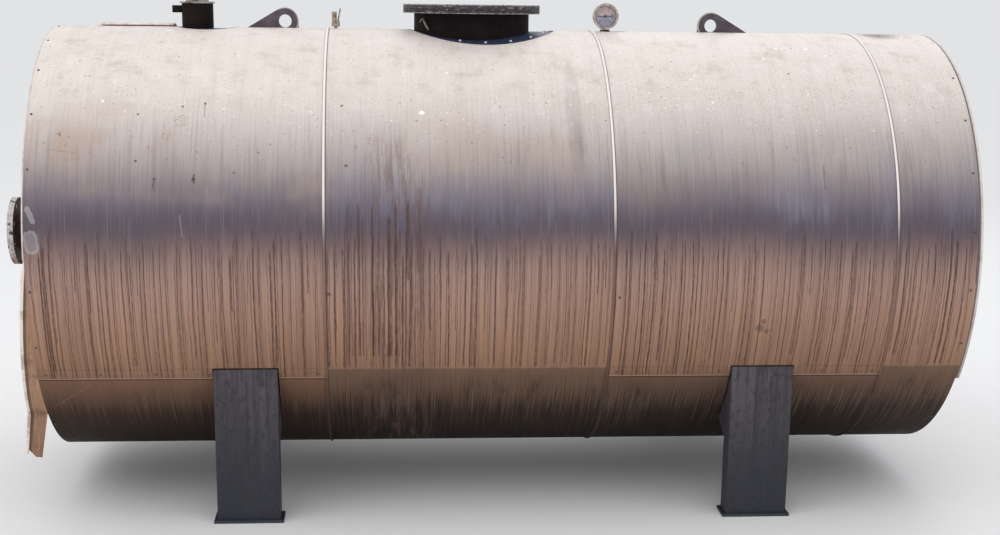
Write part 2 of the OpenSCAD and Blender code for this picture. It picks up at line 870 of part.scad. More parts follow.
// Channel leg with gussets that reach in to the vessel, on a foot plate.
module leg() {
    translate([-leg_w / 2, -leg_face, foot_t]) cube([leg_w, leg_web, leg_top_z - foot_t]);
    for (x = [-leg_w / 2, leg_w / 2 - leg_flange]) {
        translate([x, -leg_face, foot_t]) cube([leg_flange, leg_depth, leg_top_z - foot_t]);
        translate([x, 0, 0]) gusset();
    }
    translate([-leg_w / 2 - foot_out, -leg_face - foot_out, 0])
        cube([leg_w + 2 * foot_out, leg_depth + 2 * foot_out, foot_t]);
}

// Web that carries the channel's flange on to the vessel's round.
module gusset() {
    on_vessel() rotate([90, 0, 90]) linear_extrude(leg_flange)
        polygon([[-gusset_out, leg_top_z], [-gusset_in, leg_top_z], [-gusset_in, gusset_z],
            [-gusset_in - gusset_level, gusset_z], [-gusset_out, gusset_z - gusset_fall]]);
}

module leg_front_left() {
    color("steelblue") place(leg_left_x) leg();
}

module leg_front_right() {
    color("steelblue") place(leg_right_x) leg();
}

module leg_rear_left() {
    color("steelblue") place(leg_left_x) mirror([0, 1, 0]) leg();
}

module leg_rear_right() {
    color("steelblue") place(leg_right_x) mirror([0, 1, 0]) leg();
}

vessel_barrel();
vessel_head_left();
vessel_head_right();
insulation_barrel();
cladding_course_1();
cladding_course_2();
cladding_course_3();
cladding_course_4();
end_cover_left();
end_cover_right();
end_rim_left();
end_rim_right();
loose_rim_strip();
manhole_neck();
manhole_flange();
manhole_cover();
manhole_flashing();
top_nozzle_neck();
top_nozzle_cap();
top_nozzle_flashing();
end_nozzle_neck();
end_nozzle_flange();
lifting_lug_left();
lifting_lug_right();
gauge_stem();
gauge_case();
gauge_bezel();
gauge_dial();
gauge_pointer();
gauge_glass();
vent_cock_body();
vent_cock_lever();
leg_front_left();
leg_front_right();
leg_rear_left();
leg_rear_right();
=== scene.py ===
"""Looks of the horizontal pressure tank: weathered sheet, rust, paint, screws, rivets and dial marks."""

import math

import bmesh
import bpy
from mathutils import Matrix, Vector


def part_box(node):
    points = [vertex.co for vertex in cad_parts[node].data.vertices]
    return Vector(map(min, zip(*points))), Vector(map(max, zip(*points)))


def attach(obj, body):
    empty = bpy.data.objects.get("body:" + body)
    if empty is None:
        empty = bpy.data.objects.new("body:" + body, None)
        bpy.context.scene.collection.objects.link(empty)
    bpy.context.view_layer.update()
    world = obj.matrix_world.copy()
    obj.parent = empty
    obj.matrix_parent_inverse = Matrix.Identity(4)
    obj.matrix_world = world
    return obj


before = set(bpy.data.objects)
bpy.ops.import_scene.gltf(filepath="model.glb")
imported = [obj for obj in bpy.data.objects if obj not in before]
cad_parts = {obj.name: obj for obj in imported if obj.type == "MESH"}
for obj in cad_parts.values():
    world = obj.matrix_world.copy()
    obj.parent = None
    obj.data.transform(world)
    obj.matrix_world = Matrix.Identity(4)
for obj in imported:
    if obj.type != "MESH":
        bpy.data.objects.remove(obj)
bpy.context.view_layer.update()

# Places and sizes taken from the frame, in metres
MAIN_LO, MAIN_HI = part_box("cladding_course_3")
SEAT = 0.0003
BEAD = 0.0047 + SEAT
AXIS_Z = (MAIN_LO.z + MAIN_HI.z) / 2
RADIUS = (MAIN_HI.z - MAIN_LO.z) / 2 - BEAD
RIGHT_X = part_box("cladding_course_4")[1].x
COURSE_X = [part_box("cladding_course_%d" % i)[0].x for i in (1, 2, 3, 4)]
LEFT_X, SEAMS = COURSE_X[0], COURSE_X[1:]
LAP_ANGLE = math.radians(120.4)
BORDER_ANGLE = math.radians(117.3)
LIFTED_CORNER, LIFTED_WIDTH, LIFTED_RISE = 0.044, 0.066, 0.0147
HEM_RADIUS = 0.0040
STRIP_LEAN = math.radians(6.2)
LUG_ROUND = 0.049
FLASHING_SINK = 0.004
LEG_FACE = -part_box("leg_front_left")[0].y
SCREW_RADIUS, SCREW_HEIGHT, SCREW_PITCH = 0.0042, 0.0026, 0.16
RIVET_RADIUS, RIVET_HEIGHT = 0.0055, 0.0045
RIM_SCREWS, RIVETS = 24, 16


# Node helper: short calls that add one node each and return its output

class Tree:
    """Builds one material's nodes."""

    def __init__(self, name):
        self.mat = bpy.data.materials.new(name)
        self.mat.use_nodes = True
        self.nodes = self.mat.node_tree.nodes
        self.links = self.mat.node_tree.links
        self.nodes.clear()
        self.bsdf = self.nodes.new("ShaderNodeBsdfPrincipled")
        out = self.nodes.new("ShaderNodeOutputMaterial")
        self.links.new(self.bsdf.outputs[0], out.inputs[0])

    def put(self, value, socket):
        if hasattr(value, "links"):
            self.links.new(value, socket)
        elif hasattr(socket.default_value, "__len__") and len(value) == 3 and len(socket.default_value) == 4:
            socket.default_value = (*value, 1)
        else:
            socket.default_value = value

    def math(self, kind, a, b=0.0, clamp=False):
        node = self.nodes.new("ShaderNodeMath")
        node.operation = kind
        node.use_clamp = clamp
        self.put(a, node.inputs[0])
        self.put(b, node.inputs[1])
        return node.outputs[0]

    def add(self, a, b):
        return self.math("ADD", a, b)

    def sub(self, a, b):
        return self.math("SUBTRACT", a, b)

    def mul(self, a, b, clamp=False):
        return self.math("MULTIPLY", a, b, clamp)

    def step(self, value, low, high, out_low=0.0, out_high=1.0):
        """Smooth step of value from low to high."""
        node = self.nodes.new("ShaderNodeMapRange")
        node.interpolation_type = "SMOOTHSTEP"
        self.put(value, node.inputs["Value"])
        self.put(low, node.inputs["From Min"])
        self.put(high, node.inputs["From Max"])
        self.put(out_low, node.inputs["To Min"])
        self.put(out_high, node.inputs["To Max"])
        return node.outputs[0]

    def xyz(self):
        coords = self.nodes.new("ShaderNodeTexCoord")
        split = self.nodes.new("ShaderNodeSeparateXYZ")
        self.links.new(coords.outputs["Object"], split.inputs[0])
        return split.outputs

    def vector(self, x=0.0, y=0.0, z=0.0):
        node = self.nodes.new("ShaderNodeCombineXYZ")
        for value, socket in zip((x, y, z), node.inputs):
            self.put(value, socket)
        return node.outputs[0]

    def noise(self, vector, scale=1.0, detail=3.0, rough=0.5):
        node = self.nodes.new("ShaderNodeTexNoise")
        self.put(vector, node.inputs["Vector"])
        node.inputs["Scale"].default_value = scale
        node.inputs["Detail"].default_value = detail
        node.inputs["Roughness"].default_value = rough
        return node.outputs["Fac"]

    def stretched(self, u, u_scale, v, v_scale, seed, detail=2.0, rough=0.5):
        """Noise over two coordinates, each with its own scale."""
        place = self.vector(self.mul(u, u_scale), self.mul(v, v_scale), seed)
        return self.noise(place, 1.0, detail, rough)

    def hypot(self, a, b):
        """Length of a vector from its two parts."""
        return self.math("SQRT", self.add(self.mul(a, a), self.mul(b, b)))

    def cells(self, w):
        """One-dimensional cells: distance to the cell's point, and a random colour for each cell."""
        node = self.nodes.new("ShaderNodeTexVoronoi")
        node.voronoi_dimensions = "1D"
        node.inputs["Scale"].default_value = 1.0
        self.put(w, node.inputs["W"])
        split = self.nodes.new("ShaderNodeSeparateColor")
        self.links.new(node.outputs["Color"], split.inputs[0])
        return node.outputs["Distance"], split.outputs

    def near(self, vector, point, radius):
        """1 inside a round spot, falling softly to 0 at its border."""
        node = self.nodes.new("ShaderNodeVectorMath")
        node.operation = "DISTANCE"
        self.put(vector, node.inputs[0])
        node.inputs[1].default_value = point
        return self.step(node.outputs["Value"], radius * 1.2, radius * 0.7)

    def mix(self, factor, a, b, kind="MIX"):
        node = self.nodes.new("ShaderNodeMix")
        node.data_type = "RGBA"
        node.blend_type = kind
        self.put(factor, node.inputs[0])
        self.put(a, node.inputs[6])
        self.put(b, node.inputs[7])
        return node.outputs[2]

    def ramp(self, value, stops):
        node = self.nodes.new("ShaderNodeValToRGB")
        node.color_ramp.interpolation = "B_SPLINE"
        band = node.color_ramp.elements
        while len(band) < len(stops):
            band.new(0.5)
        for element, (place, colour) in zip(band, stops):
            element.position = place
            element.color = (*colour, 1)
        self.put(value, node.inputs[0])
        return node.outputs[0]

    def bump(self, height, distance, strength=1.0, normal=None):
        node = self.nodes.new("ShaderNodeBump")
        node.inputs["Strength"].default_value = strength
        node.inputs["Distance"].default_value = distance
        self.put(height, node.inputs["Height"])
        if normal is not None:
            self.put(normal, node.inputs["Normal"])
        return node.outputs[0]

    def finish(self, colour, rough, metal=0.0, normal=None):
        self.put(colour, self.bsdf.inputs["Base Color"])
        self.put(rough, self.bsdf.inputs["Roughness"])
        self.put(metal, self.bsdf.inputs["Metallic"])
        if normal is not None:
            self.put(normal, self.bsdf.inputs["Normal"])
        return self.mat


def srgb(red, green, blue):
    """Screen colour from 0 to 255 as a linear colour."""
    return tuple(((c / 255 + 0.055) / 1.055) ** 2.4 if c > 10 else c / 255 / 12.92
                 for c in (red, green, blue))


def tank_coords(tree):
    """Place along the tank, arc length down from the top line on each side, and the radius."""
    x, y, z = tree.xyz()
    up = tree.sub(z, AXIS_Z)
    angle = tree.math("ARCTAN2", y, up)
    radius = tree.hypot(y, up)
    return x, angle, radius


# Cladding

# Tones of the sheet from the top line (0) to the lowest line (1): dust and film, with painted reflection (a
# pale top, a dark violet waist, tan below) and painted shade that darkens the bottom to near black
SHEET_TONES_WITH_PAINTED_LIGHT = [
    (0.00, (233, 223, 216)), (0.21, (232, 222, 215)), (0.29, (206, 196, 190)), (0.36, (160, 148, 146)),
    (0.405, (112, 104, 117)), (0.45, (50, 44, 66)), (0.50, (176, 144, 132)), (0.57, (170, 133, 112)),
    (0.65, (158, 122, 98)), (0.70, (92, 72, 60)), (0.75, (52, 40, 34)), (0.84, (16, 11, 9))]
DRIP_TONE = (66, 40, 36)
WHITE = (248, 246, 242)
DARK = (70, 58, 54)
RUST = (150, 104, 84)

# Marks that the photograph shows on each course: metres from its left seam, degrees down from the
# top line, radius in millimetres, tone and strength
MARKS = {
    1: [(0.107, 56, 9, RUST, 0.8), (0.107, 56, 3, DARK, 0.8), (0.120, 57, 40, RUST, 0.22),
        (0.50, 52, 26, RUST, 0.60),
        (0.58, 46.6, 4, DARK, 0.9), (0.505, 47.6, 4, DARK, 0.9), (0.36, 50, 4, DARK, 0.9),
        (0.36, 63, 4, DARK, 0.9),
        (0.42, 67.7, 5, DARK, 0.8), (0.55, 67.6, 6, (84, 56, 44), 0.9), (0.68, 66, 5, DARK, 0.7),
        (0.46, 56, 20, RUST, 0.60), (0.65, 65, 12, RUST, 0.6), (0.40, 60, 16, RUST, 0.60),
        (0.24, 46, 6, WHITE, 0.7), (0.41, 10, 14, WHITE, 0.8)],
    2: [(0.33, 49, 9, WHITE, 0.95), (0.42, 35, 6, WHITE, 0.7), (0.11, 59, 9, RUST, 0.8),
        (0.06, 47, 4, DARK, 0.8),
        (0.075, 64, 6, (92, 66, 54), 0.8), (0.015, 96, 7, DARK, 0.8), (0.16, 57, 24, RUST, 0.6)],
    3: [(0.64, 21, 8, WHITE, 0.8), (0.75, 21, 9, WHITE, 0.8), (0.58, 27, 7, WHITE, 0.7),
        (0.81, 25, 7, WHITE, 0.7),
        (0.31, 35, 6, WHITE, 0.6), (0.31, 40, 6, WHITE, 0.6), (0.36, 45, 6, WHITE, 0.6),
        (0.70, 42, 6, WHITE, 0.6),
        (0.65, 34, 4, DARK, 0.9), (0.515, 105.5, 15, DARK, 0.5), (0.525, 103.6, 10, DARK, 0.5),
        (0.54, 106.4, 8, DARK, 0.5), (0.02, 97, 6, DARK, 0.8)],
    # The fourth course's two pale spots are painted highlights on the dent's crease
    4: [(0.17, 39, 26, WHITE, 0.25), (0.20, 43, 18, WHITE, 0.2)]}
# How bluish and how warm the shoulder of each course is
SHOULDER = {1: (0.10, 1.6), 2: (0.7, 0.9), 3: (1.35, 0.5), 4: (0.7, 0.6)}
# Place along the tank of the dark run beside the second course's right bead
RUN_X = SEAMS[1] - 0.125
# Middle of the heavy runs on the second course
HEAVY_X = SEAMS[0] + 0.20
# Small dents, in the same measures
DENTS = {1: [(0.107, 56, 9)], 2: [], 3: [(0.67, 71, 12), (0.43, 56, 9)], 4: []}
# Scratches, cracks and long marks, and painted shade in the dent: both ends as metres and degrees, width in
# millimetres, tone and strength
SCRATCHES_AND_DENT_SHADE = {
    1: [((0.04, 130.5), (0.17, 122.5), 3, RUST, 0.5), ((0.12, 130.0), (0.16, 128.5), 3, DARK, 0.55),
        ((0.13, 131.5), (0.145, 136.5), 3, DARK, 0.55), ((0.07, 60), (0.17, 61), 2, (120, 106, 104), 0.35),
        ((0.014, 75.0), (0.031, 78.0), 16, WHITE, 0.20), ((0.022, 81.8), (0.027, 84.4), 44, WHITE, 0.18),
        ((0.022, 82.0), (0.026, 84.2), 30, (118, 108, 120), 0.55),
        ((0.58, 46.6), (0.577, 50.5), 3, DARK, 0.5),
        ((0.42, 67.6), (0.42, 70.2), 3, DARK, 0.6), ((0.55, 66.4), (0.55, 68.4), 5, (78, 54, 44), 0.8),
        ((0.505, 76.5), (0.512, 81.5), 3, (172, 164, 176), 0.35)],
    2: [], 3: [((0.72, 63.5), (0.72, 69.5), 5, DARK, 0.4)],
    # Shade in the dent, in five strokes that narrow towards its middle
    4: [((0.05 + 0.009 * i, 2.0), (0.16 - 0.009 * i, 2.0), 84 - 15 * i, (88, 74, 80), 0.18)
        for i in range(5)]}


def drip_lines(tree, x, down, spacing, width, first, last, seed):
    """Thin lines that run down the sheet, each with its own start, end, width and slight wavering."""
    wander = tree.stretched(x, 9.0, down, 3.5, seed)
    waver = tree.stretched(x, 60.0, down, 26.0, seed)
    sway = tree.add(tree.mul(tree.sub(wander, 0.5), 0.014), tree.mul(tree.sub(waver, 0.5), 0.0045))
    place = tree.add(x, sway)
    distance, chance = tree.cells(tree.add(tree.mul(place, 1.0 / spacing), seed))
    start = tree.add(first, tree.mul(chance[0], 0.075))
    short = tree.step(chance[1], 0.55, 1.0)
    end = tree.sub(last, tree.mul(tree.mul(short, short), 0.34))
    begun = tree.step(tree.sub(down, start), 0.0, 0.030)
    ended = tree.step(tree.sub(end, down), 0.0, 0.014)
    half = tree.mul(tree.add(0.5, chance[2]), width / spacing)
    line = tree.step(distance, tree.mul(half, 0.5), half, 1.0, 0.0)
    broken = tree.step(tree.stretched(x, 90.0, down, 34.0, seed), 0.3, 0.6, 0.6)
    return tree.mul(tree.mul(line, broken), tree.mul(begun, ended))


def drips(tree, base, x, down, last, seed, has_heavy):
    """The film of dirt below the widest line: long dark runs, closer together in places."""
    crowd = tree.step(tree.noise(tree.vector(tree.mul(x, 2.3), 0.0, seed), 1.0, 2.0), 0.34, 0.60, 0.62, 1.0)
    layers = [(0.027, 0.0025, 1.09, 0.84), (0.018, 0.0017, 1.10, 0.66), (0.074, 0.0038, 1.06, 0.60),
              (0.012, 0.0011, 1.12, 0.36)]
    for i, (spacing, width, first, strength) in enumerate(layers):
        line = drip_lines(tree, x, down, spacing, width, first, last, seed + 2.7 * i)
        base = tree.mix(tree.mul(tree.mul(line, strength), crowd), base, srgb(*DRIP_TONE))
    if has_heavy:
        heavy = tree.step(tree.math("ABSOLUTE", tree.sub(x, HEAVY_X)), 0.19, 0.06)
        for spacing, width, first in ((0.041, 0.0056, 0.96), (0.019, 0.0026, 1.02)):
            line = drip_lines(tree, x, down, spacing, width, first, last - 0.05, seed + spacing * 500)
            base = tree.mix(tree.mul(tree.mul(line, 0.60), heavy), base, srgb(*DRIP_TONE))
    return base


def underside(tree, base, place, down, border, seed, tone, lines):
    """Darker sheet with fine pale and dark runs below the border."""
    uneven = tree.noise(tree.vector(tree.mul(place, 30.0), 0.0, seed), 1.0, 2.0)
    below = tree.sub(down, tree.add(border, tree.mul(tree.sub(uneven, 0.5), 0.010)))
    film = tree.mul(tree.step(below, -0.003, 0.006), tree.step(below, 0.02, 0.22, 0.60, 0.08))
    base = tree.mix(film, base, srgb(*tone))
    fine = tree.stretched(place, 250.0, down, 3.0, seed + 11, 2.0, 0.6)
    patch = tree.stretched(place, 15.0, down, 4.0, seed + 12, 5.0, 0.68)
    low = tree.mul(tree.step(below, 0.01, 0.09), lines)
    mottle = tree.add(tree.mul(patch, 0.7), tree.mul(fine, 0.3))
    dark = tree.mul(tree.step(mottle, 0.50, 0.62), tree.mul(low, 0.44))
    base = tree.mix(dark, base, srgb(30, 27, 28))
    pale = tree.mul(tree.step(fine, 0.54, 0.64), tree.step(below, 0.10, 0.30, 0.46, 0.16))
    base = tree.mix(tree.mul(pale, low), base, srgb(132, 114, 100))
    return tree.mix(tree.mul(tree.step(fine, 0.46, 0.36), tree.mul(low, 0.60)), base, srgb(24, 19, 18))


def marks(tree, base, x, down, number, seed):
    """Spots, specks and scratches that the photograph shows, with painted highlights on the dent's crease
    and painted shade in the dent.
    """
    left = COURSE_X[number - 1]
    warp = tree.stretched(x, 55.0, down, 55.0, seed, 3.0, 0.6)
    spread = tree.mul(tree.sub(warp, 0.5), 0.014)
    spot = tree.vector(tree.add(x, spread), tree.sub(down, spread), 0.0)
    grains = tree.step(tree.stretched(x, 190.0, down, 190.0, seed), 0.52, 0.60)
    for along, degrees, radius, tone, strength in MARKS[number]:
        centre = (left + along, RADIUS * math.radians(degrees), 0.0)
        shape = tree.near(spot, centre, radius / 1000)
        if tone == RUST and radius > 8:
            shape = tree.mul(shape, grains)
        base = tree.mix(tree.mul(shape, strength), base, srgb(*tone))
    for (x0, a0), (x1, a1), width, tone, strength in SCRATCHES_AND_DENT_SHADE[number]:
        start = Vector((left + x0, RADIUS * math.radians(a0)))
        run = Vector((left + x1, RADIUS * math.radians(a1))) - start
        unit = run.normalized()
        from_x, from_y = tree.sub(tree.add(x, spread), start.x), tree.sub(tree.add(down, spread), start.y)
        length = tree.add(tree.mul(from_x, unit.x), tree.mul(from_y, unit.y))
        across = tree.sub(tree.mul(from_x, unit.y), tree.mul(from_y, unit.x))
        past = tree.sub(length, tree.math("MINIMUM", tree.math("MAXIMUM", length, 0.0), run.length))
        away = tree.hypot(across, past)
        line = tree.step(away, width / 2000 - 0.001, width / 2000 + 0.002, 1.0, 0.0)
        base = tree.mix(tree.mul(line, strength), base, srgb(*tone))
    return base


def seams(tree, base, x, angle, radius, number):
    """Bead and lap: painted highlight where light would catch them, and painted shade beside, below and in
    the gaps at the seams.
    """
    side = tree.math("ABSOLUTE", angle)
    left = COURSE_X[number - 1]
    # The first and third sheets lap in front, the others behind
    lap_side = -1 if number in (1, 3) else 1
    from_lap = tree.mul(tree.sub(tree.mul(angle, lap_side), LAP_ANGLE), RADIUS)
    # Painted shadow just below the lap's edge, and a painted highlight just above it
    dark = tree.mul(tree.step(from_lap, -0.0002, 0.0006), tree.step(from_lap, 0.0085, 0.0035))
    light = tree.mul(tree.step(from_lap, -0.0055, -0.0035), tree.step(from_lap, 0.0, -0.0008))
    base = tree.mix(tree.mul(dark, 0.8), base, srgb(34, 26, 24))
    base = tree.mix(tree.mul(light, 0.5), base, srgb(186, 156, 134))
    raised = tree.step(radius, RADIUS + 0.0018, RADIUS + 0.0026)
    if number == 1:
        raised = tree.mul(raised, tree.step(x, LEFT_X + 0.80, LEFT_X + 0.85))
    # Beads are painted pale as a highlight on the upper part of the tank and dark as shade on the lower part
    bead_highlight_to_shade = tree.step(side, math.radians(70), math.radians(88))
    base = tree.mix(tree.mul(raised, tree.step(bead_highlight_to_shade, 0.0, 1.0, 0.9, 0.45)), base,
                    tree.mix(bead_highlight_to_shade, srgb(244, 238, 234), srgb(96, 74, 66)))
    if number > 1:
        # Painted shade in the gap at the seam
        seam_gap_shade = tree.step(tree.sub(x, left), 0.0050, 0.0095, 0.85, 0.0)
        base = tree.mix(seam_gap_shade, base, srgb(72, 58, 56))
    if number < 4:
        # Painted shade beside the next course's bead
        before = tree.step(tree.sub(COURSE_X[number], x), 0.0050, 0.0080, 0.4, 0.0)
        base = tree.mix(tree.mul(before, tree.sub(1.0, raised)), base, srgb(84, 72, 70))
    return base


def cladding(number, seed):
    """Brushed sheet with a film of dust, a darker waist of painted reflection, painted shade low down, drip
    lines and a grimy underside.
    """
    tree = Tree("sheet_course_%d" % number)
    x, angle, radius = tank_coords(tree)
    side = tree.math("ABSOLUTE", angle)
    down = tree.mul(side, RADIUS)
    around = tree.mul(angle, RADIUS)
    rear = tree.math("LESS_THAN", 0.0, angle)
    place = tree.add(x, tree.mul(rear, 7.3))

    shift = tree.stretched(place, 1.7, down, 1.0, seed)
    fine = tree.stretched(place, 26.0, down, 1.6, seed, 4.0, 0.7)
    edge = tree.add(tree.mul(tree.sub(shift, 0.5), 0.10), tree.mul(tree.sub(fine, 0.5), 0.10))
    height = tree.add(tree.mul(side, 1 / math.pi), tree.mul(edge, 0.30))
    # Tones by height: dust and film, with painted reflection and painted shade
    base = tree.ramp(height, [(p, srgb(*c)) for p, c in SHEET_TONES_WITH_PAINTED_LIGHT])

    grain = tree.stretched(place, 190.0, around, 2.6, seed, 5.0, 0.75)
    streaky = tree.stretched(place, 34.0, around, 0.9, seed + 3, 4.0, 0.65)
    waist = tree.step(height, 0.30, 0.42)
    base = tree.mix(tree.mul(tree.step(grain, 0.3, 0.7), tree.step(waist, 0.0, 1.0, 0.12, 0.34)), base,
                    (0.30, 0.30, 0.31), "SOFT_LIGHT")
    above_border = tree.step(height, 0.67, 0.64)
    lower = tree.mul(tree.step(height, 0.38, 0.50, 0.05, 0.24), above_border)
    base = tree.mix(tree.mul(tree.step(streaky, 0.42, 0.66), lower), base, srgb(100, 74, 66))
    tan = tree.mul(tree.step(height, 0.50, 0.60), tree.step(streaky, 0.50, 0.34))
    base = tree.mix(tree.mul(tree.mul(tan, above_border), 0.22), base, srgb(180, 142, 112))
    brush = tree.stretched(place, 140.0, around, 3.0, seed + 2, 4.0, 0.7)
    combed = tree.mul(tree.step(height, 0.20, 0.36, 0.05, 0.26), tree.step(height, 0.72, 0.66))
    base = tree.mix(tree.mul(tree.step(brush, 0.50, 0.64), combed), base, srgb(96, 80, 84))
    # Pale brush strokes on the upper sides: a painted sheen on the brushed grain
    painted_brush_sheen = tree.mul(combed, tree.step(height, 0.50, 0.42, 0.0, 0.45))
    base = tree.mix(tree.mul(tree.step(brush, 0.46, 0.34), painted_brush_sheen), base, srgb(206, 194, 190))

    if number == 2:
        run = tree.vector(x, tree.mul(side, 0.08), tree.mul(fine, 0.04))
        smudge = tree.near(run, (RUN_X, 0.068, 0.02), 0.028)
        base = tree.mix(tree.mul(smudge, 0.18), base, srgb(104, 94, 94))

    # Bluish and brown smears on the shoulder, above the waist
    shoulder = tree.mul(tree.step(height, 0.25, 0.36), tree.step(height, 0.47, 0.40))
    smear = tree.stretched(place, 40.0, down, 3.2, seed + 6, 6.0, 0.78)
    region = tree.stretched(place, 3.2, down, 2.4, seed + 8)
    blue = tree.mul(tree.step(smear, 0.46, 0.62, 0.25, 1.0), tree.step(region, 0.46, 0.60))
    bluish, warmth = SHOULDER[number]
    base = tree.mix(tree.mul(blue, tree.mul(shoulder, 0.34 * bluish)), base, srgb(138, 143, 164))
    brown = tree.mul(tree.step(smear, 0.52, 0.38, 0.15, 1.0), tree.step(region, 0.50, 0.38))
    base = tree.mix(tree.mul(brown, tree.mul(shoulder, 0.42)), base, srgb(126, 103, 95))
    if number == 2:
        close = tree.step(tree.math("ABSOLUTE", tree.sub(x, HEAVY_X + 0.05)), 0.17, 0.04)
        stained = tree.mul(tree.step(smear, 0.54, 0.42), close)
        stained = tree.mul(stained, tree.step(height, 0.27, 0.38, 0.0, 0.60))
        base = tree.mix(stained, base, srgb(104, 80, 76))
    warm = tree.stretched(place, 2.6, down, 3.4, seed + 4, 3.0, 0.55)
    band = tree.mul(tree.step(height, 0.22, 0.32), tree.step(height, 0.44, 0.36))
    warm = tree.mul(tree.step(warm, 0.50, 0.66), band)
    base = tree.mix(tree.mul(warm, 0.30 * warmth), base, srgb(176, 150, 132))

    # Cloudy dust, sandy grains and small specks on the top
    crown = tree.step(height, 0.34, 0.20)
    blotch = tree.stretched(place, 9.0, down, 10.0, seed + 5, 6.0, 0.7)
    dust = tree.mul(tree.step(blotch, 0.50, 0.68), tree.mul(crown, 0.34))
    base = tree.mix(dust, base, srgb(176, 156, 144))
    base = tree.mix(tree.mul(tree.step(blotch, 0.46, 0.30), tree.mul(crown, 0.30)), base, srgb(*WHITE))
    sand = tree.stretched(place, 170.0, down, 170.0, seed + 10, 2.0, 0.8)
    grains = tree.step(height, 0.34, 0.24, 0.0, 0.16 if number < 3 else 0.34)
    base = tree.mix(tree.mul(tree.step(sand, 0.54, 0.68), grains), base, srgb(*WHITE))
    base = tree.mix(tree.mul(tree.step(sand, 0.46, 0.34), grains), base, srgb(160, 146, 140))
    speck = tree.stretched(place, 70.0, down, 70.0, seed + 7, 2.0, 0.8)
    flecks = tree.mul(tree.step(speck, 0.66, 0.71), tree.step(height, 0.40, 0.34))
    base = tree.mix(tree.mul(flecks, 0.75), base, srgb(104, 78, 66))
    chips = tree.mul(tree.step(speck, 0.345, 0.30), tree.step(height, 0.34, 0.26))
    base = tree.mix(tree.mul(chips, 0.8), base, srgb(252, 250, 247))

    # The film of dirt ends at the lap in front, and a little higher where the lap is behind
    border = RADIUS * (LAP_ANGLE if number in (1, 3) else BORDER_ANGLE)
    below_tone, lines = ((112, 82, 66), 0.5) if number == 1 else ((88, 70, 61), 1.0)
    base = underside(tree, base, place, down, border, seed, below_tone, lines)
    base = drips(tree, base, place, down, border + 0.002, seed + 1, number == 2)
    base = marks(tree, base, x, tree.mul(angle, -RADIUS), number, seed)
    base = seams(tree, base, x, angle, radius, number)

    rough = tree.add(tree.step(grain, 0.2, 0.8, 0.46, 0.58), tree.mul(tree.step(height, 0.45, 0.7), 0.14))
    metal = tree.step(height, 0.40, 0.60, 0.22, 0.05)
    tree.put(tree.step(height, 0.45, 0.72, 0.5, 0.12), tree.bsdf.inputs["Specular IOR Level"])
    wave = tree.stretched(place, 2.2, around, 2.0, seed + 9)
    for along, degrees, size in DENTS[number]:
        centre = (COURSE_X[number - 1] + along, -RADIUS * math.radians(degrees), 0.0)
        pit = tree.near(tree.vector(x, around, 0.0), centre, size / 1000)
        wave = tree.sub(wave, tree.mul(pit, 0.5))
    normal = tree.bump(wave, 0.005, 0.4)
    return tree.finish(base, rough, metal, tree.bump(grain, 0.0002, 0.35, normal))


def grimy_sheet(name, clean, dirty, metal, streaks):
    """Plain sheet with cloudy dirt that gathers low down, and streaks as strong as stated."""
    tree = Tree(name)
    x, y, z = tree.xyz()
    cloud = tree.noise(tree.vector(tree.mul(x, 6.0), tree.mul(y, 6.0), tree.mul(z, 6.0)), 1.0, 5.0, 0.6)
    run = tree.noise(tree.vector(tree.mul(x, 40.0), tree.mul(y, 40.0), tree.mul(z, 2.0)), 1.0, 4.0, 0.7)
    low = tree.step(z, AXIS_Z + 0.35, AXIS_Z - 0.45)
    dirt = tree.math("ADD", tree.mul(low, 0.75), tree.mul(tree.step(run, 0.42, 0.66), streaks), True)
    dirt = tree.mul(dirt, tree.step(cloud, 0.25, 0.6, 0.55, 1.0))
    base = tree.mix(dirt, srgb(*clean), srgb(*dirty))
    rough = tree.add(0.36, tree.mul(dirt, 0.25))
    normal = tree.bump(cloud, 0.003, 0.3)
    return tree.finish(base, rough, metal, tree.bump(run, 0.0003, 0.3, normal))


def flaking(name, paint, rust, flake, amount, seed):
    """Old paint that flakes off to rust, with runs of rust downwards."""
    tree = Tree(name)
    x, y, z = tree.xyz()
    place = tree.vector(tree.add(x, seed), y, z)
    big = tree.noise(place, 16.0, 6.0, 0.62)
    small = tree.noise(place, 95.0, 5.0, 0.7)
    run = tree.noise(tree.vector(tree.mul(x, 60.0), tree.mul(y, 60.0), tree.mul(z, 6.0)), 1.0, 3.0, 0.6)
    bare = tree.step(tree.add(tree.mul(big, 0.7), tree.mul(small, 0.3)), amount + 0.05, amount - 0.03)
    tone = tree.mix(tree.step(small, 0.35, 0.7), srgb(*paint), srgb(*[0.8 * c for c in paint]))
    tone = tree.mix(tree.step(run, 0.52, 0.74, 0.0, 0.45), tone, srgb(*rust))
    metal_tone = tree.mix(tree.step(small, 0.3, 0.7), srgb(*rust), srgb(*flake))
    base = tree.mix(bare, tone, metal_tone)
    rough = tree.add(0.52, tree.mul(bare, 0.28))
    normal = tree.bump(tree.sub(1.0, bare), 0.0008, 0.6)
    return tree.finish(base, rough, 0.0, tree.bump(small, 0.0006, 0.5, normal))


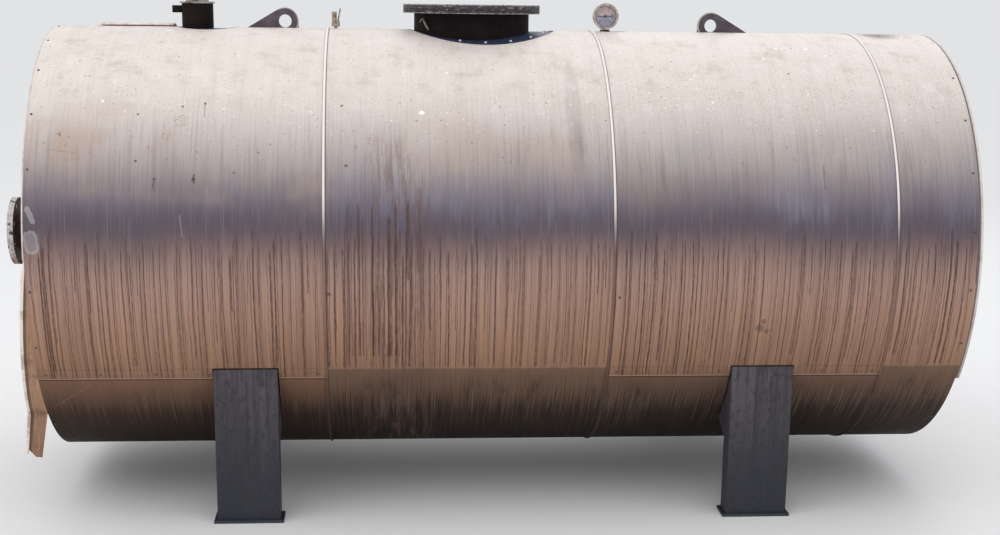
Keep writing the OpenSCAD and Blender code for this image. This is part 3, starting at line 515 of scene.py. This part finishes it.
def scraped(name, paint, bright, rust):
    """Dark primer that is scraped pale in short strokes round the rim, and pale along the edges as worn
    paint with a painted highlight.
    """
    tree = Tree(name)
    x, y, z = tree.xyz()
    lo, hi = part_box("manhole_flange")[0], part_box("manhole_cover")[1]
    across, deep = tree.sub(x, (lo.x + hi.x) / 2), tree.sub(y, (lo.y + hi.y) / 2)
    turn = tree.math("ARCTAN2", deep, across)
    reach = tree.hypot(across, deep)
    rim = tree.step(reach, (hi.x - lo.x) / 2 - 0.012, (hi.x - lo.x) / 2 - 0.003)
    stroke = tree.stretched(turn, 9.0, z, 160.0, 0.0, 5.0, 0.75)
    stroke = tree.mul(stroke, rim)
    small = tree.noise(tree.vector(x, y, z), 110.0, 5.0, 0.7)
    patch = tree.noise(tree.vector(x, y, z), 24.0, 5.0, 0.66)
    base = tree.mix(tree.step(small, 0.35, 0.65), srgb(*paint), srgb(*[0.7 * c for c in paint]))
    base = tree.mix(tree.step(patch, 0.52, 0.62, 0.0, 0.7), base, srgb(*rust))
    scrape = tree.mul(tree.step(stroke, 0.54, 0.64), tree.step(patch, 0.35, 0.60, 0.3, 0.9))
    base = tree.mix(scrape, base, srgb(*bright))
    # Pale top and bottom edges: worn paint with a painted highlight
    lower, upper = tree.step(z, lo.z + 0.0045, lo.z + 0.0015), tree.step(z, hi.z - 0.0045, hi.z - 0.0015)
    edge = tree.math("MAXIMUM", lower, upper)
    worn = tree.mul(tree.mul(edge, rim), tree.step(small, 0.62, 0.44, 0.15, 0.85))
    base = tree.mix(worn, base, srgb(*bright))
    return tree.finish(base, tree.step(small, 0.3, 0.7, 0.50, 0.72), 0.1, tree.bump(stroke, 0.0008, 0.5))


def rim_fold(name, sheet_end, outwards):
    """Folded rim: pale on the roll, with painted shade in the gap beside the cladding on the right-hand rim
    only.
    """
    tree = Tree(name)
    x, angle, _ = tank_coords(tree)
    out = tree.mul(tree.sub(x, sheet_end), outwards)
    cloud = tree.stretched(x, 9.0, angle, 14.0, 3.0, 5.0, 0.65)
    low = tree.step(tree.math("ABSOLUTE", angle), math.radians(86), math.radians(125))
    pale = tree.mix(tree.step(cloud, 0.45, 0.7), srgb(220, 211, 206), srgb(190, 178, 172))
    base = tree.mix(tree.mul(low, 0.55), pale, srgb(150, 122, 104))
    # Painted shade in the gap beside the cladding
    painted_gap_shade = tree.step(out, 0.0085, 0.0055, 0.0, 0.82 if outwards > 0 else 0.0)
    base = tree.mix(painted_gap_shade, base, srgb(70, 56, 54))
    return tree.finish(base, tree.step(cloud, 0.3, 0.7, 0.42, 0.56), 0.2, tree.bump(cloud, 0.002, 0.3))


def strip_sheet(name):
    """Torn rim strip: white rolled edge, a dark line of painted shadow from the fold beside it, and tan
    sheet that is browner lower down.
    """
    tree = Tree(name)
    x, y, z = tree.xyz()
    up = tree.sub(z, AXIS_Z)
    level = tree.mul(tree.sub(x, LEFT_X), math.cos(STRIP_LEAN))
    from_edge = tree.sub(level, tree.mul(up, math.sin(STRIP_LEAN)))
    patch = tree.noise(tree.vector(x, y, z), 15.0, 5.0, 0.62)
    place = tree.vector(tree.mul(from_edge, 120.0), tree.mul(y, 9.0), tree.mul(z, 7.0))
    runs = tree.noise(place, 1.0, 4.0, 0.6)
    base = tree.mix(tree.step(up, -0.45, -0.68), srgb(166, 128, 100), srgb(142, 106, 84))
    base = tree.mix(tree.step(patch, 0.50, 0.66, 0.0, 0.55), base, srgb(104, 78, 62))
    base = tree.mix(tree.step(runs, 0.48, 0.34, 0.0, 0.35), base, srgb(196, 166, 140))
    base = tree.mix(tree.step(runs, 0.56, 0.70, 0.0, 0.50), base, srgb(84, 62, 52))
    # Painted shadow of the fold: a dark line beside the rolled edge
    line = tree.mul(tree.step(from_edge, -0.002, 0.0005), tree.step(from_edge, 0.013, 0.006))
    base = tree.mix(tree.mul(line, 0.75), base, srgb(72, 52, 46))
    hem = tree.mix(tree.step(patch, 0.52, 0.68), srgb(236, 222, 214), srgb(190, 168, 154))
    base = tree.mix(tree.step(from_edge, 0.0, -0.002), base, hem)
    return tree.finish(base, tree.step(patch, 0.3, 0.7, 0.48, 0.62), 0.1, tree.bump(patch, 0.003, 0.4))


def end_flange_paint():
    """Weathered white paint with dark flakes, rust low down and a dark brown back."""
    tree = Tree("end_flange_paint")
    x, y, z = tree.xyz()
    lo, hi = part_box("end_nozzle_flange")
    place = tree.vector(x, y, z)
    big = tree.noise(place, 22.0, 6.0, 0.65)
    small = tree.noise(place, 110.0, 5.0, 0.7)
    worn = tree.add(tree.mul(big, 0.65), tree.mul(small, 0.35))
    base = tree.mix(tree.step(worn, 0.40, 0.60), srgb(226, 222, 222), srgb(168, 160, 158))
    base = tree.mix(tree.step(worn, 0.47, 0.42), base, srgb(62, 50, 48))
    low = tree.step(z, lo.z + 0.075, lo.z + 0.005)
    base = tree.mix(tree.mul(low, tree.step(small, 0.36, 0.56, 0.35, 0.95)), base, srgb(128, 82, 60))
    back = tree.step(x, hi.x - 0.0012, hi.x - 0.0004)
    base = tree.mix(back, base, tree.mix(tree.step(big, 0.4, 0.6), srgb(64, 50, 48), srgb(40, 33, 34)))
    return tree.finish(base, tree.step(small, 0.3, 0.7, 0.55, 0.78), 0.0, tree.bump(worn, 0.0016, 0.7))


def lug_primer(name, node, outwards):
    """Mauve-grey primer, thin over rust, with a painted highlight along one side of the plate's rounded
    edge.
    """
    tree = Tree(name)
    x, y, z = tree.xyz()
    lo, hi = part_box(node)
    eye_x = hi.x - LUG_ROUND if outwards > 0 else lo.x + LUG_ROUND
    eye_z = hi.z - LUG_ROUND
    place = tree.vector(x, y, z)
    big = tree.noise(place, 26.0, 5.0, 0.6)
    small = tree.noise(place, 140.0, 4.0, 0.7)
    base = tree.mix(tree.step(big, 0.38, 0.62), srgb(91, 80, 87), srgb(72, 63, 72))
    thin = tree.add(tree.mul(big, 0.5), tree.mul(small, 0.5))
    base = tree.mix(tree.step(thin, 0.55, 0.64, 0.0, 0.8), base, srgb(84, 58, 52))
    dx, dz = tree.sub(x, eye_x), tree.sub(z, eye_z)
    reach = tree.hypot(dx, dz)
    rim = tree.mul(tree.step(reach, LUG_ROUND - 0.0045, LUG_ROUND - 0.002),
                   tree.step(reach, LUG_ROUND + 0.003, LUG_ROUND + 0.001))
    # Painted highlight on one side of the rounded edge
    rounded = tree.step(tree.add(tree.mul(dx, outwards), tree.mul(dz, 0.5)), -0.012, 0.006)
    base = tree.mix(tree.mul(tree.mul(rim, rounded), 0.8), base, srgb(196, 188, 188))
    return tree.finish(base, tree.step(small, 0.3, 0.7, 0.50, 0.70), 0.1, tree.bump(small, 0.0006, 0.6))


def dial_face():
    """Faded dial: pinkish above and blue-grey below the pointer."""
    tree = Tree("dial_face")
    x, y, z = tree.xyz()
    lo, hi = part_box("gauge_dial")
    middle = (lo.z + hi.z) / 2
    cloud = tree.noise(tree.vector(x, y, z), 55.0, 4.0, 0.6)
    height = tree.add(z, tree.mul(tree.sub(cloud, 0.5), 0.02))
    above = tree.step(height, middle - 0.008, middle + 0.008)
    base = tree.mix(above, srgb(180, 180, 204), srgb(222, 200, 202))
    base = tree.mix(tree.step(cloud, 0.52, 0.72, 0.0, 0.4), base, srgb(150, 136, 134))
    return tree.finish(base, 0.6, 0.0, tree.bump(cloud, 0.0004, 0.3))


def rusty(name, light, dark, deep):
    """Bare rusted steel in two tones in patches, with specks of a third, deeper tone."""
    tree = Tree(name)
    x, y, z = tree.xyz()
    place = tree.vector(x, y, z)
    big = tree.noise(place, 14.0, 6.0, 0.6)
    small = tree.noise(place, 120.0, 5.0, 0.7)
    base = tree.mix(tree.step(big, 0.35, 0.68), srgb(*dark), srgb(*light))
    base = tree.mix(tree.step(small, 0.5, 0.8, 0.0, 0.5), base, srgb(*deep))
    normal = tree.bump(big, 0.003, 0.4)
    tree.bsdf.inputs["Specular IOR Level"].default_value = 0.15
    rough = tree.step(small, 0.2, 0.8, 0.62, 0.85)
    return tree.finish(base, rough, 0.0, tree.bump(small, 0.0008, 0.7, normal))


def leg_paint(name):
    """Blue-grey paint with pale and dark runs and rust specks; painted shade turns it dark blue towards the
    ground and darkens the sides behind the outer face.
    """
    tree = Tree(name)
    x, y, z = tree.xyz()
    runs = tree.noise(tree.vector(tree.mul(x, 85.0), tree.mul(y, 85.0), tree.mul(z, 2.2)), 1.0, 5.0, 0.7)
    wide = tree.noise(tree.vector(tree.mul(x, 22.0), tree.mul(y, 22.0), tree.mul(z, 1.3)), 1.0, 3.0, 0.6)
    small = tree.noise(tree.vector(x, y, z), 130.0, 4.0, 0.7)
    blot = tree.noise(tree.vector(tree.mul(x, 60.0), tree.mul(y, 60.0), tree.mul(z, 30.0)), 1.0, 5.0, 0.72)
    base = tree.mix(tree.step(wide, 0.40, 0.60), srgb(82, 75, 84), srgb(114, 105, 112))
    base = tree.mix(tree.step(runs, 0.51, 0.60, 0.0, 0.45), base, srgb(130, 122, 126))
    # Painted shade: dark blue towards the ground
    base = tree.mix(tree.step(z, 0.56, 0.10, 0.0, 0.90), base, srgb(26, 46, 64))
    base = tree.mix(tree.step(runs, 0.47, 0.38, 0.0, 0.65), base, srgb(38, 33, 38))
    base = tree.mix(tree.step(blot, 0.52, 0.60, 0.0, 0.60), base, srgb(42, 35, 40))
    base = tree.mix(tree.step(small, 0.57, 0.66, 0.0, 0.6), base, srgb(112, 76, 60))
    # Painted shade on the sides of each leg, behind its outer face
    inner = tree.step(tree.math("ABSOLUTE", y), LEG_FACE - 0.004, LEG_FACE - 0.010)
    base = tree.mix(tree.mul(inner, 0.55), base, srgb(28, 25, 28))
    rough = tree.step(runs, 0.3, 0.7, 0.55, 0.72)
    normal = tree.bump(runs, 0.0006, 0.4)
    return tree.finish(base, rough, 0.0, tree.bump(small, 0.0003, 0.4, normal))


def speckled(name, tone, other, scale, rough, metal, depth=0.0004):
    """Small-piece finish: two tones in soft patches, with fine relief."""
    tree = Tree(name)
    x, y, z = tree.xyz()
    place = tree.vector(x, y, z)
    patch = tree.noise(place, scale, 5.0, 0.62)
    fine = tree.noise(place, scale * 7.0, 3.0, 0.6)
    base = tree.mix(tree.step(patch, 0.4, 0.66), srgb(*tone), srgb(*other))
    base = tree.mix(tree.step(fine, 0.55, 0.8, 0.0, 0.35), base, srgb(*[0.6 * c for c in other]))
    return tree.finish(base, tree.step(fine, 0.2, 0.8, rough - 0.06, rough + 0.08), metal,
                       tree.bump(fine, depth, 0.5))


def dusty_glass(name):
    """Thin clear glass with a little dust."""
    tree = Tree(name)
    x, y, z = tree.xyz()
    dust = tree.noise(tree.vector(x, y, z), 90.0, 4.0, 0.6)
    tree.bsdf.inputs["Transmission Weight"].default_value = 0.95
    tree.bsdf.inputs["IOR"].default_value = 1.15
    return tree.finish(tree.mix(tree.step(dust, 0.5, 0.8), (0.96, 0.96, 0.97), (0.80, 0.76, 0.72)),
                       tree.step(dust, 0.4, 0.8, 0.05, 0.22))


def mineral_wool(name):
    """Matted yellow-brown fibres."""
    tree = Tree(name)
    x, y, z = tree.xyz()
    place = tree.vector(x, y, z)
    mat = tree.noise(place, 60.0, 6.0, 0.7)
    base = tree.mix(tree.step(mat, 0.35, 0.65), srgb(150, 130, 84), srgb(190, 172, 122))
    return tree.finish(base, 0.95, 0.0, tree.bump(mat, 0.004, 0.8))


def assign(node, material):
    """Gives a CAD node its finish."""
    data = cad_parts[node].data
    data.materials.clear()
    data.materials.append(material)


# Pieces

def mesh_piece(name, build, material):
    """Makes a mesh piece that rides on the tank."""
    mesh = bpy.data.meshes.new(name)
    work = bmesh.new()
    build(work)
    bmesh.ops.recalc_face_normals(work, faces=work.faces)
    work.to_mesh(mesh)
    work.free()
    for face in mesh.polygons:
        face.use_smooth = True
    piece = bpy.data.objects.new(name, mesh)
    bpy.context.scene.collection.objects.link(piece)
    mesh.materials.append(material)
    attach(piece, "root")
    return piece


def on_sheet(x, angle, lift=0.0):
    """Frame on the cladding's outside: Z points outwards. The angle runs from the top to the front."""
    out = Vector((0, -math.sin(angle), math.cos(angle)))
    along = Vector((1, 0, 0))
    turn = Matrix((along, out.cross(along), out)).transposed().to_4x4()
    place = Vector((x, 0, AXIS_Z)) + out * (RADIUS + lift)
    return Matrix.Translation(place) @ turn


def dome(work, place, radius, height, sides=14, foot=0.0008):
    """Low round head: a turned profile, closed below the surface that it sits on."""
    profile = [(radius * 0.94, -foot), (radius, 0.0), (radius * 0.97, height * 0.35),
               (radius * 0.8, height * 0.74), (radius * 0.45, height * 0.96)]
    rings = []
    for r, z in profile:
        rings.append([work.verts.new(place @ Vector((r * math.cos(t), r * math.sin(t), z)))
                      for t in (2 * math.pi * i / sides for i in range(sides))])
    top = work.verts.new(place @ Vector((0, 0, height)))
    for low, high in zip(rings, rings[1:]):
        for i in range(sides):
            j = (i + 1) % sides
            work.faces.new((low[i], low[j], high[j], high[i]))
    for i in range(sides):
        work.faces.new((rings[-1][i], rings[-1][(i + 1) % sides], top))
    work.faces.new(rings[0][::-1])


def screws_piece(material):
    """Pan-head screws along the laps and round the rims."""
    def build(work):
        for k, (x0, x1) in enumerate(zip([LEFT_X, *SEAMS], [*SEAMS, RIGHT_X])):
            side = 1 if k in (0, 2) else -1
            count = max(2, round((x1 - x0) / SCREW_PITCH))
            for i in range(count):
                x = x0 + 0.03 + (x1 - x0 - 0.06) * i / (count - 1)
                place = on_sheet(x, side * (LAP_ANGLE - 0.026), 0.0015)
                dome(work, place, SCREW_RADIUS, SCREW_HEIGHT)
        for x in (LEFT_X + 0.012, RIGHT_X - 0.016):
            for i in range(RIM_SCREWS):
                angle = 2 * math.pi * (i + 0.35) / RIM_SCREWS
                # None beside the dent
                if x < 0 or angle >= 0.6:
                    dome(work, on_sheet(x, angle), SCREW_RADIUS, SCREW_HEIGHT)
    return mesh_piece("sheet_screws", build, material)


def rivets_piece(material):
    """Pale rivets that hold the flashing round the manhole."""
    hole_lo, hole_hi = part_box("manhole_flashing")
    neck_lo, neck_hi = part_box("manhole_neck")
    middle = (hole_lo.x + hole_hi.x) / 2
    circle = (hole_hi.x - hole_lo.x) / 2 - 0.030
    neck_x, neck_r = (neck_lo.x + neck_hi.x) / 2, (neck_hi.x - neck_lo.x) / 2

    def build(work):
        for i in range(RIVETS):
            turn = 2 * math.pi * i / RIVETS
            x, y = middle + circle * math.sin(turn), -circle * math.cos(turn)
            if math.hypot(x - neck_x, y) > neck_r + 0.012:
                place = on_sheet(x, math.asin(-y / RADIUS), -FLASHING_SINK)
                dome(work, place, RIVET_RADIUS, RIVET_HEIGHT)
    return mesh_piece("flashing_rivets", build, material)


def rod(work, points, radius, sides=10):
    """Round bar along a bent line, with its ends drawn in."""
    rings = []
    last = len(points) - 1
    for i, point in enumerate(points):
        along = (points[min(i + 1, last)] - points[max(i - 1, 0)]).normalized()
        side = along.orthogonal().normalized()
        other = along.cross(side)
        rings.append([work.verts.new(point + radius * (math.cos(t) * side + math.sin(t) * other))
                      for t in (2 * math.pi * k / sides for k in range(sides))])
    for low, high in zip(rings, rings[1:]):
        shift = min(range(sides), key=lambda k: (low[0].co - high[k].co).length)
        for k in range(sides):
            j = (k + 1) % sides
            work.faces.new((low[k], low[j], high[(j + shift) % sides], high[(k + shift) % sides]))
    for ring, end, inward in ((rings[0], points[0], points[1]), (rings[-1], points[-1], points[-2])):
        tip = work.verts.new(end + (end - inward).normalized() * radius * 0.6)
        for k in range(sides):
            work.faces.new((ring[k], ring[(k + 1) % sides], tip))


def latch_piece(material):
    """Bent bar that is left on the manhole's neck, at its left in front."""
    lo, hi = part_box("manhole_neck")
    middle, neck_r = (lo.x + hi.x) / 2, (hi.x - lo.x) / 2
    top = AXIS_Z + RADIUS

    def at(degrees, out, up):
        turn = math.radians(degrees)
        return Vector((middle - (neck_r + out) * math.cos(turn), -(neck_r + out) * math.sin(turn), top + up))

    def build(work):
        bend = at(33, 0.004, 0.040)
        rod(work, [bend, at(35, 0.009, 0.036), at(38, 0.008, 0.018), at(41, 0.004, 0.000)], 0.0042)
        rod(work, [bend, at(30, 0.006, 0.034), at(28, 0.004, 0.026)], 0.0034)
    return mesh_piece("neck_latch", build, material)


def hem_piece(material):
    """Folded hem along the lifted edge of the first course, and down its left corner."""
    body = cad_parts["cladding_course_1"]
    points = [body.matrix_world @ v.co for v in body.data.vertices]
    peak = max(p.z for p in points)
    edge = [p for p in points if p.z > peak - 0.0016]
    left, right = min(edge, key=lambda p: p.x), max(edge, key=lambda p: p.x)
    foot = Vector((left.x - LIFTED_CORNER, left.y + LIFTED_WIDTH, left.z - LIFTED_RISE))
    low = Vector((0, 0, HEM_RADIUS * 0.9))

    def build(work):
        bend = left.lerp(foot, 0.12)
        line = [foot.lerp(left, t) for t in (0.0, 0.3, 0.6)] + [bend, left.lerp(right, 0.02)]
        line += [left.lerp(right, t) for t in (0.25, 0.5, 0.75, 0.97)]
        rod(work, [p - low for p in line], HEM_RADIUS)
    return mesh_piece("lifted_hem", build, material)


STROKES = {"a": ((0, 2), (1, 2)), "b": ((1, 1), (1, 2)), "c": ((1, 0), (1, 1)), "d": ((0, 0), (1, 0)),
           "e": ((0, 0), (0, 1)), "f": ((0, 1), (0, 2)), "g": ((0, 1), (1, 1))}
FIGURES = {"0": "abcdef", "1": "bc", "2": "abged", "4": "fgbc", "6": "afgecd", "8": "abcdefg"}


def flat_bar(work, place, start, end, width, height):
    """Thin raised bar with bevelled sides between two points of a plane."""
    start, end = Vector(start), Vector(end)
    along = (end - start).normalized()
    side = Vector((-along.y, along.x))
    low, high = [], []
    for point, way in ((start, -1), (end, 1)):
        for hand in (way, -way):
            foot = point + along * way * width / 2 + side * hand * width / 2
            top = point + along * way * width / 3 + side * hand * width / 3
            low.append(work.verts.new(place @ Vector((foot.x, foot.y, -0.0001))))
            high.append(work.verts.new(place @ Vector((top.x, top.y, height))))
    work.faces.new(low)
    work.faces.new(high[::-1])
    for k in range(4):
        j = (k + 1) % 4
        work.faces.new((low[j], low[k], high[k], high[j]))


def dial_piece(material):
    """Ticks and plain figures on the dial, and the ring on the pointer's tail."""
    lo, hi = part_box("gauge_dial")
    radius = (hi.x - lo.x) / 2
    middle = ((lo.x + hi.x) / 2, lo.y, (lo.z + hi.z) / 2)
    place = Matrix.Translation(middle) @ Matrix.Rotation(math.pi / 2, 4, "X")
    steps, sweep, thick = 50, math.radians(270), 0.0002

    def build(work):
        for i in range(steps + 1):
            turn = math.radians(225) - sweep * i / steps
            out = Vector((math.cos(turn), math.sin(turn)))
            inner, width = (0.86, 0.0006)
            if i % 5 == 0:
                inner, width = (0.74, 0.0015) if i % 10 == 0 else (0.82, 0.0011)
            flat_bar(work, place, out * radius * inner, out * radius * 0.93, width, thick)
            if i % 10 == 0:
                text = str(i // 5)
                size = radius * 0.085
                for n, figure in enumerate(text):
                    corner = out * radius * 0.60 + Vector(((n - len(text) / 2) * 1.7 + 0.35, -1.0)) * size
                    for stroke in FIGURES[figure]:
                        a, b = (corner + Vector(p) * size for p in STROKES[stroke])
                        flat_bar(work, place, a, b, 0.0010, thick)
        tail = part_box("gauge_pointer")[1].x - (lo.x + hi.x) / 2
        ring, count = 0.0045, 20
        for i in range(count):
            a, b = (Vector((tail + ring * math.cos(t), ring * math.sin(t)))
                    for t in (2 * math.pi * (i + k) / count for k in (0, 1)))
            flat_bar(work, place, a, b, 0.0014, 0.0016)
    return mesh_piece("dial_marks", build, material)


# Set the finishes

MATERIALS = {
    "cladding_course_1": cladding(1, 1.0),
    "cladding_course_2": cladding(2, 12.0),
    "cladding_course_3": cladding(3, 25.0),
    "cladding_course_4": cladding(4, 38.0),
    "end_cover_left": grimy_sheet("cover_sheet", (206, 200, 194), (156, 142, 131), 0.45, 0.16),
    "end_rim_left": rim_fold("rim_fold_left", LEFT_X, -1),
    "end_rim_right": rim_fold("rim_fold_right", RIGHT_X, 1),
    "loose_rim_strip": strip_sheet("strip_sheet"),
    # The neck's near-black tones are dark rust and painted shade under the flange
    "manhole_neck": rusty("neck_rust_and_painted_shade", (30, 17, 16), (11, 8, 11), (6, 7, 13)),
    "manhole_flange": scraped("flange_primer", (42, 38, 44), (158, 154, 158), (44, 31, 29)),
    "manhole_cover": scraped("cover_primer", (66, 62, 67), (186, 182, 184), (62, 44, 40)),
    # The flashing's dark blue is painted shade with a painted reflection of the sky
    "manhole_flashing": grimy_sheet("flashing_painted_shade", (54, 66, 94), (40, 46, 62), 0.2, 0.4),
    "top_nozzle_neck": rusty("nozzle_rust", (32, 20, 18), (14, 11, 14), (8, 9, 16)),
    "top_nozzle_cap": flaking("cap_primer", (168, 164, 158), (96, 70, 58), (66, 52, 46), 0.42, 9.0),
    "end_nozzle_neck": rusty("pipe_rust", (84, 60, 50), (54, 42, 38), (36, 30, 32)),
    "end_nozzle_flange": end_flange_paint(),
    "lifting_lug_left": lug_primer("lug_primer_left", "lifting_lug_left", 1),
    "lifting_lug_right": lug_primer("lug_primer_right", "lifting_lug_right", -1),
    "gauge_stem": speckled("dull_brass", (96, 88, 74), (66, 60, 54), 80.0, 0.5, 0.5),
    "gauge_case": speckled("case_paint", (70, 70, 74), (96, 92, 92), 60.0, 0.5, 0.2),
    "gauge_bezel": speckled("bezel_metal", (196, 184, 176), (146, 130, 116), 70.0, 0.36, 0.4),
    "gauge_dial": dial_face(),
    "gauge_pointer": speckled("pointer_black", (26, 26, 28), (40, 38, 40), 120.0, 0.45, 0.0, 0.0001),
    "gauge_glass": dusty_glass("gauge_glass_clear"),
    "vent_cock_body": speckled("cock_brass_dull", (178, 164, 146), (120, 104, 90), 90.0, 0.42, 0.5),
    "vent_cock_lever": speckled("lever_steel", (150, 142, 136), (96, 86, 80), 90.0, 0.5, 0.4),
    "leg_front_left": leg_paint("leg_blue_grey"),
    "vessel_barrel": rusty("vessel_primer", (92, 70, 60), (66, 54, 50), (50, 44, 44)),
    "insulation_barrel": mineral_wool("wool_mat"),
}
SAME = {
    # The top nozzle's flashing shares the manhole flashing's painted shade
    "end_cover_right": "end_cover_left", "top_nozzle_flashing": "manhole_flashing",
    "leg_front_right": "leg_front_left", "leg_rear_left": "leg_front_left",
    "leg_rear_right": "leg_front_left",
    "vessel_head_left": "vessel_barrel", "vessel_head_right": "vessel_barrel"}
for node, material in MATERIALS.items():
    assign(node, material)
for node, like in SAME.items():
    assign(node, MATERIALS[like])

screws_piece(speckled("screw_steel", (112, 96, 88), (66, 50, 44), 300.0, 0.5, 0.4))
rivets_piece(speckled("rivet_metal", (232, 230, 230), (186, 184, 186), 200.0, 0.4, 0.3))
latch_piece(speckled("latch_steel", (150, 138, 130), (96, 80, 74), 160.0, 0.5, 0.3))
hem_piece(speckled("hem_sheet", (240, 226, 222), (206, 188, 182), 60.0, 0.5, 0.2))
dial_piece(MATERIALS["gauge_pointer"])


# Stage, light and camera

def stage_finish():
    """Pale floor that the camera sees as near white, and that keeps the object's shadow."""
    tree = Tree("floor_pale")
    x, y, z = tree.xyz()
    tone = tree.noise(tree.vector(x, y, z), 0.8, 2.0)
    return tree.finish(tree.mix(tone, (0.84, 0.84, 0.84), (0.87, 0.87, 0.87)), 0.9)


def add_floor():
    """Level floor, wide enough to fill the picture."""
    mesh = bpy.data.meshes.new("floor")
    half = 30.0
    corners = [(-half, -half, 0), (half, -half, 0), (half, half, 0), (-half, half, 0)]
    mesh.from_pydata(corners, [], [(0, 1, 2, 3)])
    floor = bpy.data.objects.new("floor", mesh)
    mesh.materials.append(stage_finish())
    bpy.context.scene.collection.objects.link(floor)


def add_world():
    """Soft fill light, and the pale backdrop that the camera, metal and glass see."""
    world = bpy.data.worlds.new("studio")
    bpy.context.scene.world = world
    world.use_nodes = True
    tree = world.node_tree
    tree.nodes.clear()
    fill = tree.nodes.new("ShaderNodeBackground")
    fill.inputs[0].default_value = (0.97, 0.98, 1.0, 1)
    fill.inputs[1].default_value = 0.92
    seen = tree.nodes.new("ShaderNodeBackground")
    seen.inputs[0].default_value = (0.762, 0.769, 0.786, 1)
    seen.inputs[1].default_value = 1.0
    path = tree.nodes.new("ShaderNodeLightPath")
    blend = tree.nodes.new("ShaderNodeMixShader")
    out = tree.nodes.new("ShaderNodeOutputWorld")
    direct = path.outputs["Is Camera Ray"]
    for name in ("Is Glossy Ray", "Is Transmission Ray"):
        either = tree.nodes.new("ShaderNodeMath")
        either.operation = "MAXIMUM"
        tree.links.new(direct, either.inputs[0])
        tree.links.new(path.outputs[name], either.inputs[1])
        direct = either.outputs[0]
    tree.links.new(direct, blend.inputs[0])
    tree.links.new(fill.outputs[0], blend.inputs[1])
    tree.links.new(seen.outputs[0], blend.inputs[2])
    tree.links.new(blend.outputs[0], out.inputs[0])


def add_lamp(name, place, target, size, power, colour):
    """Large soft lamp that points at target."""
    lamp = bpy.data.lights.new(name, "AREA")
    lamp.shape = "RECTANGLE"
    lamp.size, lamp.size_y = size
    lamp.energy = power
    lamp.color = colour
    item = bpy.data.objects.new(name, lamp)
    item.location = place
    item.rotation_euler = (Vector(target) - Vector(place)).to_track_quat("-Z", "Y").to_euler()
    bpy.context.scene.collection.objects.link(item)


def add_camera():
    """Camera fitted to the seams, outlines and legs in the photograph."""
    eye = Vector((-0.348, -5.818, 1.776))
    yaw, pitch, roll = 0.0801, 0.2335, 0.0126
    focal_px = 1527.9
    picture_w, picture_h = 1000, 535
    centre_row = 367
    forward = Vector((math.sin(yaw) * math.cos(pitch), math.cos(yaw) * math.cos(pitch), -math.sin(pitch)))
    level = Vector((math.cos(yaw), -math.sin(yaw), 0))
    above = level.cross(forward)
    right = math.cos(roll) * level + math.sin(roll) * above
    up = math.cos(roll) * above - math.sin(roll) * level
    data = bpy.data.cameras.new("camera")
    data.sensor_width = 36.0
    data.lens = focal_px / picture_w * data.sensor_width
    data.shift_y = (centre_row - picture_h / 2) / picture_w
    item = bpy.data.objects.new("camera", data)
    item.matrix_world = Matrix.Translation(eye) @ Matrix((right, up, -forward)).transposed().to_4x4()
    bpy.context.scene.collection.objects.link(item)
    bpy.context.scene.camera = item


add_floor()
add_world()
add_lamp("key", (-2.0, -3.5, 7.0), (0, 0, 0.9), (9.0, 7.0), 150.0, (1.0, 0.98, 0.95))
add_lamp("rim", (2.5, 5.0, 6.0), (0, 0, 1.2), (6.0, 5.0), 60.0, (0.97, 0.98, 1.0))
add_camera()
bpy.context.scene.view_settings.view_transform = "Standard"
